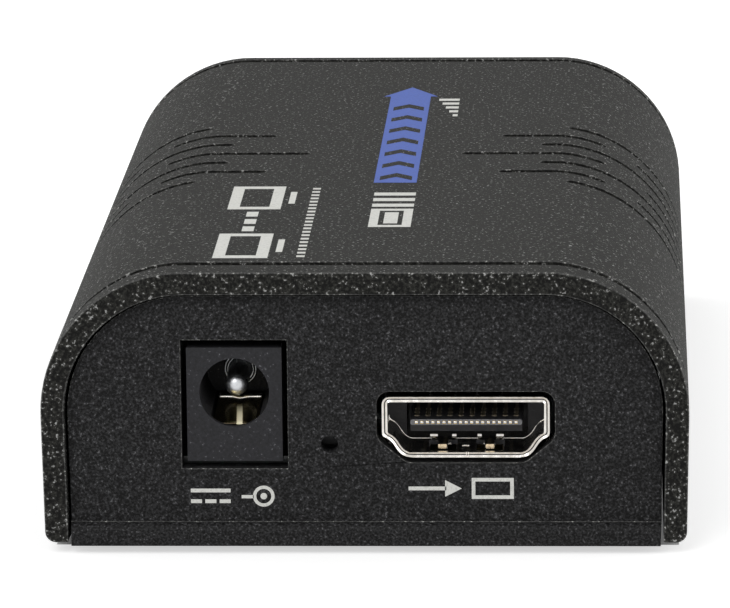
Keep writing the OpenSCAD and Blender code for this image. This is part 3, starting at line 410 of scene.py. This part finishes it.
def spun(profile, place):
    """Closed round piece from (radius, depth) points, turned about a line along Y."""
    bm = bmesh.new()
    verts = [bm.verts.new(place + Vector((r, y, 0))) for r, y in profile]
    edges = [bm.edges.new(pair) for pair in zip(verts, verts[1:])]
    bmesh.ops.spin(bm, geom=verts + edges, cent=place, axis=(0, 1, 0), angle=2 * math.pi, steps=40,
                   use_merge=True)
    bmesh.ops.remove_doubles(bm, verts=bm.verts, dist=0.001 * MM)
    bmesh.ops.recalc_face_normals(bm, faces=bm.faces)
    return bm


def mark_arrises(bm, share):
    """Marks each sharp edge with the rounding that its place calls for, as a share of the full width."""
    weight = bm.edges.layers.float.new("bevel_weight_edge")
    for edge in bm.edges:
        if len(edge.link_faces) == 2 and edge.calc_face_angle(0) > math.radians(SHARP):
            edge[weight] = min(share(v.co) for v in edge.verts)


# Cover: its top is lowered by the prints' thickness, so that the prints stay inside the CAD's box
cover = merged("top_cover")
tops = [v for v in cover.verts if v.co.z > TOP_Z - PRINT_T / 4]
bmesh.ops.translate(cover, verts=tops, vec=(0, 0, -PRINT_T))
# The grooves' long walls are cut into triangles, so that the rounding can't fold them over the hollow
walls = [f for f in cover.faces
         if abs(f.normal.y) > 0.99 and abs(f.calc_center_median().y) < cover_high.y - MM]
bmesh.ops.triangulate(cover, faces=walls, quad_method="BEAUTY", ngon_method="EAR_CLIP")
cover_tree = BVHTree.FromBMesh(cover)
HOLLOW_Z = cover_low.z + 8 * MM  # the line in the hollow that the skin faces away from
VENTS_Y = 0.6 * cover_high.y  # the vents lie nearer to the middle than this, the grooves further out


def skin_share(co):
    """How much of the full rounding a point of the cover gets."""
    if abs(co.y) > cover_high.y - 0.01 * MM:
        return 1
    outward = Vector((co.x, 0, co.z - HOLLOW_Z)).normalized()
    if cover_tree.ray_cast(co + 0.05 * MM * outward, outward)[0] is not None:
        return 0
    return 0.5 if abs(co.y) < VENTS_Y else 0.8


mark_arrises(cover, skin_share)
# The cover's rounded edges carry the painted edge highlight
dress("top_cover", 0.12 * MM, cover, arris=EDGE_PAINTED_HIGHLIGHT)

# Base: its faces stay triangles, because joined faces with openings fold over when they are rounded
base = merged("base_shell", join_flats=False)
PINHOLE_REACH = 1.5 * MM
PANEL_EDGE = 0.32 * MM


def panel_share(co):
    """Rounding for both panels' outer edges, but none at the pinhole, which stays crisp."""
    if co.y < 0 and abs(co.x - PINHOLE_X) < PINHOLE_REACH:
        return 0
    return 0.7 if min(abs(co.y - FACE_Y), abs(co.y + FACE_Y)) < PANEL_EDGE else 0


mark_arrises(base, panel_share)
# The panels' rounded edges carry the painted edge highlight
shell = dress("base_shell", 0.1 * MM, base, arris=EDGE_PAINTED_HIGHLIGHT)
# Flat shading, because long thin triangles turn parts of the panels dark when they are shaded smooth
shell.modifiers["rounding"].harden_normals = False
for polygon in shell.data.polygons:
    polygon.use_smooth = False

# Video socket: the shield's front lip is a folded sheet, so its face has a seam all round, whose floor is
# painted dark as shade
shield = merged("video_socket_shield")
lip_faces = [f for f in shield.faces
             if f.normal.y < -0.99 and abs(f.calc_center_median().y - FACE_Y) < 0.01 * MM]
bmesh.ops.inset_region(shield, faces=lip_faces, thickness=0.185 * MM, use_even_offset=True)
seam = {v for f in lip_faces for v in f.verts}
bmesh.ops.translate(shield, verts=list(seam), vec=(0, 0.14 * MM, 0))
# The seam's floor takes the insulator's black plastic: painted shade
for face in lip_faces:
    face.material_index = 1
wave_flanks(shield)
lip = dress("video_socket_shield", 0.04 * MM, shield)
lip.data.materials.append(FINISHES["socket_plastic"])

# Two rolled beads inside the shield where the insulator ends; their tilted faces catch the light
BEAD_STEPS = [(0.2, 0.06), (0.03, 0.6), (0.02, 0), (0.2, 0.06)]  # millimetres inwards and back
bead = bmesh.new()
plate = socket_plate(bead, 0.35 * MM, FACE_Y + 4.9 * MM)
for width, depth in BEAD_STEPS:
    bmesh.ops.inset_region(bead, faces=[plate], thickness=width * MM, use_even_offset=True,
                           use_boundary=True)
    bmesh.ops.translate(bead, verts=plate.verts[:], vec=(0, depth * MM, 0))
bmesh.ops.delete(bead, geom=[plate], context="FACES")
thicken(bead, bead.faces[:], 0.4 * MM)
cut = bmesh.ops.bisect_plane(bead, geom=bead.verts[:] + bead.edges[:] + bead.faces[:], clear_outer=True,
                             plane_co=(0, 0, VIDEO_Z + 0.46 * VIDEO_H), plane_no=(0, 0, 1))
bmesh.ops.holes_fill(bead, edges=[e for e in cut["geom_cut"] if isinstance(e, bmesh.types.BMEdge)])
wave_flanks(bead)
publish(bead, "video_socket_bead", FINISHES["plated_sheet"], bevel=0.02 * MM)

# Insulator: cheeks beside the recess, the recess's back and roof, and the tongue
TONGUE_Z = VIDEO_Z + 2.9 * MM
TONGUE_UP = 0.26 * MM
TONGUE_DOWN = 0.97 * MM
TONGUE_HALF = 5.05 * MM
RECESS_HALF = 5.45 * MM
RECESS_TOP = VIDEO_Z + VIDEO_H - 0.8 * MM
CHEEK_Y = FACE_Y + 5.9 * MM
RECESS_Y = FACE_Y + 9.6 * MM
BLOCK_Y = block_high.y
insulator = bmesh.new()
plate = socket_plate(insulator, SHIELD_GAP, CHEEK_Y)
thicken(insulator, [plate], BLOCK_Y - CHEEK_Y)
hole = bmesh.ops.bisect_plane(
    insulator, geom=insulator.verts[:] + insulator.edges[:] + insulator.faces[:], clear_inner=True,
    plane_co=(VIDEO_X + RECESS_HALF, 0, 0), plane_no=(1, 0, 0))
bmesh.ops.holes_fill(insulator, edges=[e for e in hole["geom_cut"] if isinstance(e, bmesh.types.BMEdge)])
bmesh.ops.mirror(insulator, geom=insulator.verts[:] + insulator.edges[:] + insulator.faces[:],
                 matrix=Matrix.Translation((-VIDEO_X, 0, 0)), axis="X", merge_dist=0)
bar(insulator, (VIDEO_X - RECESS_HALF, CHEEK_Y, RECESS_TOP),
    (VIDEO_X + RECESS_HALF, BLOCK_Y, VIDEO_Z + VIDEO_H - SHIELD_GAP))
bar(insulator, (VIDEO_X - RECESS_HALF, RECESS_Y, VIDEO_Z + SHIELD_GAP),
    (VIDEO_X + RECESS_HALF, BLOCK_Y, RECESS_TOP))
tongue = bar(insulator, (VIDEO_X - TONGUE_HALF, FACE_Y + 1.55 * MM, TONGUE_Z - TONGUE_DOWN),
             (VIDEO_X + TONGUE_HALF, RECESS_Y, TONGUE_Z + TONGUE_UP))
under = [v for v in tongue if v.co.z < TONGUE_Z and v.co.y < CHEEK_Y]
bmesh.ops.translate(insulator, verts=under, vec=(0, 0.55 * MM, 0))
bmesh.ops.recalc_face_normals(insulator, faces=insulator.faces)
wave_flanks(insulator)
dress("video_socket_insulator", 0.05 * MM, insulator)

# Front edge of the tongue, painted pale: painted light
tongue_edge = bmesh.new()
bar(tongue_edge, (VIDEO_X - TONGUE_HALF, FACE_Y + 1.5 * MM, TONGUE_Z - TONGUE_UP),
    (VIDEO_X + TONGUE_HALF, FACE_Y + 1.62 * MM, TONGUE_Z + TONGUE_UP))
corners = [e for e in tongue_edge.edges if abs(e.verts[0].co.y - e.verts[1].co.y) > 0.01 * MM]
bmesh.ops.bevel(tongue_edge, geom=corners, offset=0.2 * MM, segments=4, profile=0.5, affect="EDGES",
                material=-1, offset_type="OFFSET", clamp_overlap=True)
publish(tongue_edge, "video_socket_tongue_edge", TONGUE_FACE_PAINTED_LIGHT, bevel=0.03 * MM)

# Contact tips in the tongue's front edge, each on a thin dark disc: painted shadow of its pocket
PITCH = 0.5 * MM
CONTACTS = 19
pocket_shadows, tips = bmesh.new(), bmesh.new()
for i in range(CONTACTS):
    x = VIDEO_X + (i - (CONTACTS - 1) / 2) * PITCH
    turned = Matrix.Translation((x, FACE_Y + 1.49 * MM, TONGUE_Z)) @ Matrix.Rotation(math.pi / 2, 4, "X")
    bmesh.ops.create_circle(pocket_shadows, cap_ends=True, segments=16, radius=1,
                            matrix=turned @ Matrix.Diagonal((0.2 * MM, 0.15 * MM, 1, 1)))
    bmesh.ops.create_uvsphere(tips, u_segments=12, v_segments=8, radius=1,
                              matrix=turned @ Matrix.Diagonal((0.155 * MM, 0.1 * MM, 0.035 * MM, 1)))
thicken(pocket_shadows, pocket_shadows.faces[:], 0.02 * MM)
publish(pocket_shadows, "video_socket_tongue_pocket_shadows", FINISHES["socket_plastic"])
publish(tips, "video_socket_contact_tips", FINISHES["tinned_metal"])

# Contact beams, ten on the tongue and nine under it: flat strips with three humps for the plug's contacts
beams = bmesh.new()
for i in range(CONTACTS):
    x = VIDEO_X + (i - (CONTACTS - 1) / 2) * PITCH
    face_z = TONGUE_Z - TONGUE_DOWN if i % 2 else TONGUE_Z + TONGUE_UP
    bar(beams, (x - 0.15 * MM, FACE_Y + 2.8 * MM, face_z - 0.03 * MM),
        (x + 0.15 * MM, RECESS_Y, face_z + 0.03 * MM))
    for depth in (3.0, 4.2, 5.45):
        bar(beams, (x - 0.24 * MM, FACE_Y + depth * MM, face_z - 0.04 * MM),
            (x + 0.24 * MM, FACE_Y + (depth + 0.14) * MM, face_z + 0.04 * MM))
publish(beams, "video_socket_contact_beams", BEAM_METAL, bevel=0.02 * MM)

# The two spring fingers in the shield's floor: bent tips, rolled shoulders, and before them dark blocks
# that are painted shade of the wells.
# The sheet's seam is between the fingers
finger_tips, seams, shoulders, well_shades = bmesh.new(), bmesh.new(), bmesh.new(), bmesh.new()
FLOOR_Z = VIDEO_Z + 0.4 * MM
SEAM_X = VIDEO_X + 0.13 * MM
bar(seams, (VIDEO_X - 0.42 * MM, FACE_Y + 2.8 * MM, FLOOR_Z - 0.05 * MM),
    (VIDEO_X + 0.24 * MM, FACE_Y + 2.95 * MM, FLOOR_Z + 0.06 * MM))
for s in (-1, 1):
    x = VIDEO_X + s * 2.15 * MM
    bar(finger_tips, (x - 0.42 * MM, FACE_Y + 1.15 * MM, FLOOR_Z + 0.08 * MM),
        (x + 0.42 * MM, FACE_Y + 1.5 * MM, FLOOR_Z + 0.55 * MM))
    seam_x = SEAM_X + s * 0.09 * MM
    bar(seams, (seam_x - 0.03 * MM, FACE_Y - 0.05 * MM, VIDEO_Z + 0.02 * MM),
        (seam_x + 0.03 * MM, FACE_Y + 0.6 * MM, VIDEO_Z + 0.56 * MM))
    for near, far in ((0.95, 1.35), (2.65, 3.35)):
        bar(well_shades, (VIDEO_X + s * (near - 0.1) * MM, FACE_Y + 3.7 * MM, FLOOR_Z - 0.1 * MM),
            (VIDEO_X + s * (far + 0.1) * MM, FACE_Y + 3.9 * MM, FLOOR_Z + 0.3 * MM))
        rolled = bar(shoulders, (VIDEO_X + s * near * MM, FACE_Y + 3.98 * MM, FLOOR_Z + 0.56 * MM),
                     (VIDEO_X + s * far * MM, FACE_Y + 4.2 * MM, FLOOR_Z + 0.8 * MM))
        raised = [v for v in rolled if v.co.z > FLOOR_Z + 0.7 * MM]
        bmesh.ops.translate(shoulders, verts=raised, vec=(0, 0.062 * MM, 0))
publish(finger_tips, "video_socket_finger_tips", WORN_TIP, bevel=0.1 * MM)
bmesh.ops.recalc_face_normals(shoulders, faces=shoulders.faces)
publish(shoulders, "video_socket_finger_shoulders", FINISHES["plated_sheet"],
        bevel=0.03 * MM)
bmesh.ops.recalc_face_normals(well_shades, faces=well_shades.faces)
publish(well_shades, "video_socket_finger_well_shades", FINISHES["socket_plastic"],
        bevel=0.05 * MM)
publish(seams, "video_socket_seam", FINISHES["plated_sheet"], bevel=0.03 * MM)

# Power jack: housing, centre pin, and the leaf spring with a groove pressed along its middle
dress("dc_jack_housing", 0.1 * MM)
PIN_R = 1.025
PIN_TIP = 2.5
COLLAR_AT = 9.45
RIDGE_AT = 9.24
axis = Vector((JACK_X, jack_low.y, jack_high.z - 4.15 * MM))
# Radius and depth behind the jack's face, in millimetres: a low dome, then the collar with its two ridges
DOME = [(PIN_R * math.sin(a), PIN_TIP + 0.7 * PIN_R * (1 - math.cos(a)))
        for a in [math.radians(15 * k) for k in range(7)]]
COLLAR = [(PIN_R, COLLAR_AT), (1.12, COLLAR_AT), (1.15, RIDGE_AT), (1.19, RIDGE_AT), (1.21, COLLAR_AT),
          (1.36, COLLAR_AT), (1.38, RIDGE_AT), (1.42, RIDGE_AT), (1.46, COLLAR_AT), (1.46, 14.2), (0, 14.2)]
pin = spun([(r * MM, y * MM) for r, y in DOME + COLLAR], axis)
# The collar's flat rings take the housing's dark plastic: painted shade, so that only the ridges show
# bright
for face in pin.faces:
    spot = face.calc_center_median() - axis
    if face.normal.y < -0.95 and abs(spot.y - COLLAR_AT * MM) < 0.02 * MM:
        face.material_index = 1
bar(pin, (JACK_X - 0.6 * MM, jack_high.y + 0.05 * MM, pin_low.z),
    (JACK_X + 0.6 * MM, pin_high.y, pin_high.z))
turned_pin = dress("dc_jack_pin", 0, pin, sharp=50)
# Dark plastic for the collar's flat rings: painted shade
turned_pin.data.materials.append(FINISHES["jack_plastic"])

# The leaf's outline from its root to its tip, as shares of the housing's depth and of the leaf's rise
STEPS = [(0.873, 0), (0.80, 0.05), (0.76, 0.2), (0.70, 0.6), (0.655, 0.93), (0.63, 0.99), (0.612, 1),
         (0.6, 1), (0.596, 0.99), (0.595, 0.95), (0.593, 0.91), (0.585, 0.9), (0.56, 0.89), (0.44, 0.85),
         (0.30, 0.79), (0.18, 0.71), (0.1, 0.65), (0.06, 0.62)]
JACK_L = jack_high.y - jack_low.y
LEAF_LOW = leaf_low.z + 0.15 * MM
LEAF_RISE = leaf_high.z - LEAF_LOW
LEAF_W = leaf_high.x - leaf_low.x
GROOVE_HALF = 0.42 * MM
GROOVE_DEPTH = 0.5 * MM
COLUMNS = 14
leaf = bmesh.new()
row = [leaf.verts.new((JACK_X + (i / COLUMNS - 0.5) * LEAF_W, jack_low.y + STEPS[0][0] * JACK_L, LEAF_LOW))
       for i in range(COLUMNS + 1)]
edges = [leaf.edges.new(pair) for pair in zip(row, row[1:])]
for before, after in zip(STEPS, STEPS[1:]):
    grown = bmesh.ops.extrude_edge_only(leaf, edges=edges)["geom"]
    edges = [g for g in grown if isinstance(g, bmesh.types.BMEdge) and all(v in grown for v in g.verts)]
    bmesh.ops.translate(leaf, verts=[g for g in grown if isinstance(g, bmesh.types.BMVert)],
                        vec=(0, (after[0] - before[0]) * JACK_L, (after[1] - before[1]) * LEAF_RISE))
for v in leaf.verts:
    side = (v.co.x - JACK_X) / GROOVE_HALF
    crest = (v.co.z - LEAF_LOW) / LEAF_RISE
    v.co.z -= GROOVE_DEPTH * math.exp(-side * side) * max(crest - 0.6, 0)
bmesh.ops.recalc_face_normals(leaf, faces=leaf.faces)
sheet = publish(leaf, "dc_jack_spring_piece", LEAF_BRONZE_WORN_AND_PAINTED_LIGHT, "leaf_spring",
                ["dc_jack_spring"], sharp=60)
wall = sheet.modifiers.new("wall", "SOLIDIFY")
wall.thickness = 0.28 * MM
wall.offset = 0
smooth = sheet.modifiers.new("smooth", "SUBSURF")
smooth.levels = smooth.render_levels = 1

# Other nodes: the same solid with the edges its trade would leave, rounded by this many millimetres
EDGES = {
    "rubber_feet": 0.25, "cover_screws": 0.12, "main_board": 0.08, "reset_switch_plunger": 0.1,
    "reset_switch_body": 0.1, "reset_switch_cover": 0.05, "network_socket_shield": 0.06,
    "network_socket_housing": 0.08, "network_socket_contacts": 0.04, "network_socket_windows": 0.1,
    "infrared_jack_housing": 0.12, "infrared_jack_spring": 0.04, "status_lamps": 0.08,
    "processor_chip": 0.1, "heat_sink": 0.12, "receiver_chip": 0.08, "memory_chip": 0.08, "flash_chip": 0.1,
    "network_chip": 0.08, "network_transformer": 0.15, "crystals": 0.3, "power_inductors": 0.2,
    "electrolytic_capacitors": 0.25, "voltage_regulators": 0.1, "dc_jack_spring_terminal": 0.05,
    "dc_jack_switch_contact": 0.05, "thermal_pad": 0.08, "input_fuse": 0.08, "chip_capacitors": 0.06,
    "chip_resistors": 0.04,
}
for node, width in EDGES.items():
    dress(node, width * MM)

# Prints, drawn in millimetres


def frame_bars(bm, x0, x1, y0, y1, stroke, place):
    """Four bars round a rectangle; place turns plane coordinates into corners."""
    near, far = x0 + stroke, x1 - stroke
    bar(bm, *place(x0, near, y0, y1))
    bar(bm, *place(far, x1, y0, y1))
    bar(bm, *place(near, far, y0, y0 + stroke))
    bar(bm, *place(near, far, y1 - stroke, y1))


def on_top(x0, x1, y0, y1, low=1.0, high=0.2):
    """Corners of a bar on the cover; low and high are its levels under the top, in ink thicknesses."""
    return (x0 * MM, y0 * MM, TOP_Z - low * PRINT_T), (x1 * MM, y1 * MM, TOP_Z - high * PRINT_T)


def on_panel(x0, x1, z0, z1):
    """Corners of a bar on the front panel, with heights from the base's underside."""
    return (x0 * MM, FACE_Y - PRINT_T, z0 * MM + BASE_Z), (x1 * MM, FACE_Y, z1 * MM + BASE_Z)


def triangle(bm, points, low, high, axis):
    """Printed triangle between two levels of one axis."""
    if axis == 2:
        corners = [(a * MM, b * MM, low) for a, b in points]
        shift = (0, 0, high - low)
    else:
        corners = [(a * MM, low, b * MM + BASE_Z) for a, b in points]
        shift = (0, high - low, 0)
    face = bm.faces.new([bm.verts.new(c) for c in corners])
    made = bmesh.ops.extrude_face_region(bm, geom=[face], use_keep_orig=True)["geom"]
    bmesh.ops.translate(bm, verts=[g for g in made if isinstance(g, bmesh.types.BMVert)], vec=shift)


def print_piece(bm, name, ink):
    """Finishes a print with its faces turned outwards."""
    bmesh.ops.recalc_face_normals(bm, faces=bm.faces)
    publish(bm, name, ink)


# Top, left: two screens joined by a dashed line, for one signal carried over a distance
screens = bmesh.new()
for y0 in (-47.3, -25.7):
    frame_bars(screens, -13.9, -8.9, y0, y0 + 10.6, 1.1, on_top)
    bar(screens, *on_top(-8.3, -7.7, y0 + 2.6, y0 + 8.0))
for y0 in (-36.0, -32.7, -29.4):
    bar(screens, *on_top(-11.95, -10.85, y0 + 0.4, y0 + 2.5))
for i in range(21):
    bar(screens, *on_top(-6.3, -5.55, -46.9 + i * 1.52, -46.2 + i * 1.52))
# Top, middle: socket outline and strokes, then small steps at the far right
frame_bars(screens, -0.35, 3.6, -33.8, -25.6, 0.85, on_top)
bar(screens, *on_top(1.0, 2.3, -32.2, -27.2))
for y0 in (-24.6, -22.0, -19.4):
    bar(screens, *on_top(-0.35, 3.6, y0, y0 + 1.35))
for i in range(5):
    bar(screens, *on_top(6.0 - 0.4 * i, 6.5, 20.2 + i * 2.1, 21.3 + i * 2.1))
print_piece(screens, "top_print_white", INK_WHITE)

# Top, middle: arrow towards the back with chevrons along it
ARROW_X = 1.43
arrow = bmesh.new()
bar(arrow, *on_top(-0.62, 3.48, -13.3, 31.0))
triangle(arrow, [(-1.3, 31.0), (4.2, 31.0), (ARROW_X, 36.0)], TOP_Z - PRINT_T, TOP_Z - 0.2 * PRINT_T, 2)
print_piece(arrow, "top_print_blue", INK_BLUE)
chevrons = bmesh.new()
for i in range(7):
    y0 = -10.6 + i * 5.9
    for s in (-1, 1):
        verts = bar(chevrons, *on_top(ARROW_X, ARROW_X + s * 1.55, y0, y0 + 1.9, 0.2, 0.0))
        outer = [v for v in verts if abs(v.co.x - ARROW_X * MM) > MM]
        bmesh.ops.translate(chevrons, verts=outer, vec=(0, -1.6 * MM, 0))
print_piece(chevrons, "top_print_dark", FINISHES["cover_plastic"])

# Front panel: direct current sign and centre contact sign; a screen with an arrow going in
signs = bmesh.new()
bar(signs, *on_panel(-15.8, -12.2, 4.75, 5.1))
for i in range(3):
    bar(signs, *on_panel(-15.8 + i * 1.3, -14.8 + i * 1.3, 3.75, 4.1))
ring = bmesh.new()
centre = Matrix.Translation((-9.2 * MM, FACE_Y, 4.4 * MM + BASE_Z)) @ Matrix.Rotation(math.pi / 2, 4, "X")
bmesh.ops.create_circle(ring, cap_ends=True, segments=32, radius=0.98 * MM, matrix=centre)
ring.faces.ensure_lookup_table()
inner = ring.faces[0]
bmesh.ops.inset_region(ring, faces=[inner], thickness=0.3 * MM, use_boundary=True)
bmesh.ops.delete(ring, geom=[inner], context="FACES")
bmesh.ops.create_circle(ring, cap_ends=True, segments=20, radius=0.3 * MM, matrix=centre)
thicken(ring, ring.faces[:], -PRINT_T)
publish(ring, "panel_print_ring", INK_WHITE)
bar(signs, *on_panel(-11.2, -10.1, 4.2, 4.5))
frame_bars(signs, 9.6, 13.4, 4.15, 6.1, 0.33, on_panel)
bar(signs, *on_panel(3.9, 7.3, 4.95, 5.3))
triangle(signs, [(7.2, 4.35), (8.7, 5.12), (7.2, 5.9)], FACE_Y - PRINT_T, FACE_Y, 1)
print_piece(signs, "panel_print_white", INK_WHITE)

# Finishes of the CAD nodes, which show where no piece stands for them

for node, piece in frame["nodes"].items():
    piece.data.materials.clear()
    piece.data.materials.append(FINISHES[slot_of[node]])

# Stage, light and camera


def rays_seen(tree):
    """1 for the rays that show the background: camera, glossy and transmission."""
    path = add(tree, "LightPath")
    first = add(tree, "Math", {0: path.outputs["Is Camera Ray"], 1: path.outputs["Is Glossy Ray"]},
                operation="MAXIMUM")
    return add(tree, "Math", {0: first.outputs[0], 1: path.outputs["Is Transmission Ray"]},
               operation="MAXIMUM").outputs[0]


# Paper floor: white, with the box's soft shadow kept; under the box its glow is cut off, a painted shadow
UNDER_HALF_X = 28.3 * MM
UNDER_HALF_Y = 50 * MM
paper = bpy.data.materials.new("paper_matt")
paper.use_nodes = True
tree = paper.node_tree
tree.nodes.clear()
sheet_light = add(tree, "BsdfDiffuse", {"Color": linear("#d8d8d8")})
spot = add(tree, "SeparateXYZ", {"Vector": add(tree, "TexCoord").outputs["Object"]})
# Painted shadow: no glow inside the box's footprint
beside = add(tree, "Math", {0: add(tree, "Math", {0: spot.outputs["X"]}, operation="ABSOLUTE").outputs[0],
                            1: UNDER_HALF_X}, operation="GREATER_THAN")
beyond = add(tree, "Math", {0: add(tree, "Math", {0: spot.outputs["Y"]}, operation="ABSOLUTE").outputs[0],
                            1: UNDER_HALF_Y}, operation="GREATER_THAN")
clear = add(tree, "Math", {0: beside.outputs[0], 1: beyond.outputs[0]}, operation="MAXIMUM")
strength = add(tree, "Math", {0: clear.outputs[0], 1: 0.57}, operation="MULTIPLY")
glow = add(tree, "Emission", {"Color": linear("#ffffff"), "Strength": strength.outputs[0]})
both = add(tree, "AddShader", {0: sheet_light.outputs[0], 1: glow.outputs[0]})
choice = add(tree, "MixShader", {0: rays_seen(tree), 1: sheet_light.outputs[0], 2: both.outputs[0]})
add(tree, "OutputMaterial", {"Surface": choice.outputs[0]})
floor_mesh = bmesh.new()
bmesh.ops.create_circle(floor_mesh, cap_ends=True, segments=64, radius=6)
mesh = bpy.data.meshes.new("paper_floor")
floor_mesh.to_mesh(mesh)
floor_mesh.free()
floor = bpy.data.objects.new("paper_floor", mesh)
bpy.context.scene.collection.objects.link(floor)
mesh.materials.append(paper)

world = bpy.data.worlds.new("studio")
bpy.context.scene.world = world
world.use_nodes = True
tree = world.node_tree
tree.nodes.clear()
room = add(tree, "Background", {"Color": linear("#ffffff"), "Strength": 0.42})
seen = add(tree, "Background", {"Color": linear("#ffffff"), "Strength": 1.0})
choice = add(tree, "MixShader", {0: rays_seen(tree), 1: room.outputs[0], 2: seen.outputs[0]})
add(tree, "OutputWorld", {"Surface": choice.outputs[0]})


def softbox(name, place, size, power):
    """Square area lamp that faces the middle of the table."""
    lamp = bpy.data.lights.new(name, "AREA")
    lamp.shape = "SQUARE"
    lamp.size = size
    lamp.energy = power
    piece = bpy.data.objects.new(name, lamp)
    bpy.context.scene.collection.objects.link(piece)
    piece.location = place
    piece.rotation_euler = (-Vector(place)).to_track_quat("-Z", "Y").to_euler()


softbox("key", (-0.3, -0.65, 0.55), 0.5, 3.3)
softbox("fill", (0.55, -0.45, 0.35), 0.5, 1.4)
softbox("back", (0.0, 0.6, 0.6), 0.6, 0.5)
softbox("left", (-0.8, 0.25, 0.2), 0.5, 3.0)
softbox("right", (0.8, 0.25, 0.2), 0.5, 3.0)

# Camera at the photograph's angle, from a fit to the box's edges in it
CAMERA_ROLL = -0.0107
view = bpy.data.cameras.new("photo_camera")
view.sensor_width = 36
view.lens = 300.3
view.clip_start = 0.01
camera = bpy.data.objects.new("photo_camera", view)
bpy.context.scene.collection.objects.link(camera)
place = Vector((23.59, -584.71, 142.69)) * MM
aim = Vector((0.186, -53.5, 23.209)) * MM
turn = (aim - place).to_track_quat("-Z", "Y").to_matrix().to_4x4()
camera.matrix_world = Matrix.Translation(place) @ turn @ Matrix.Rotation(CAMERA_ROLL, 4, "Z")
bpy.context.scene.camera = camera
bpy.context.scene.view_settings.view_transform = "Standard"
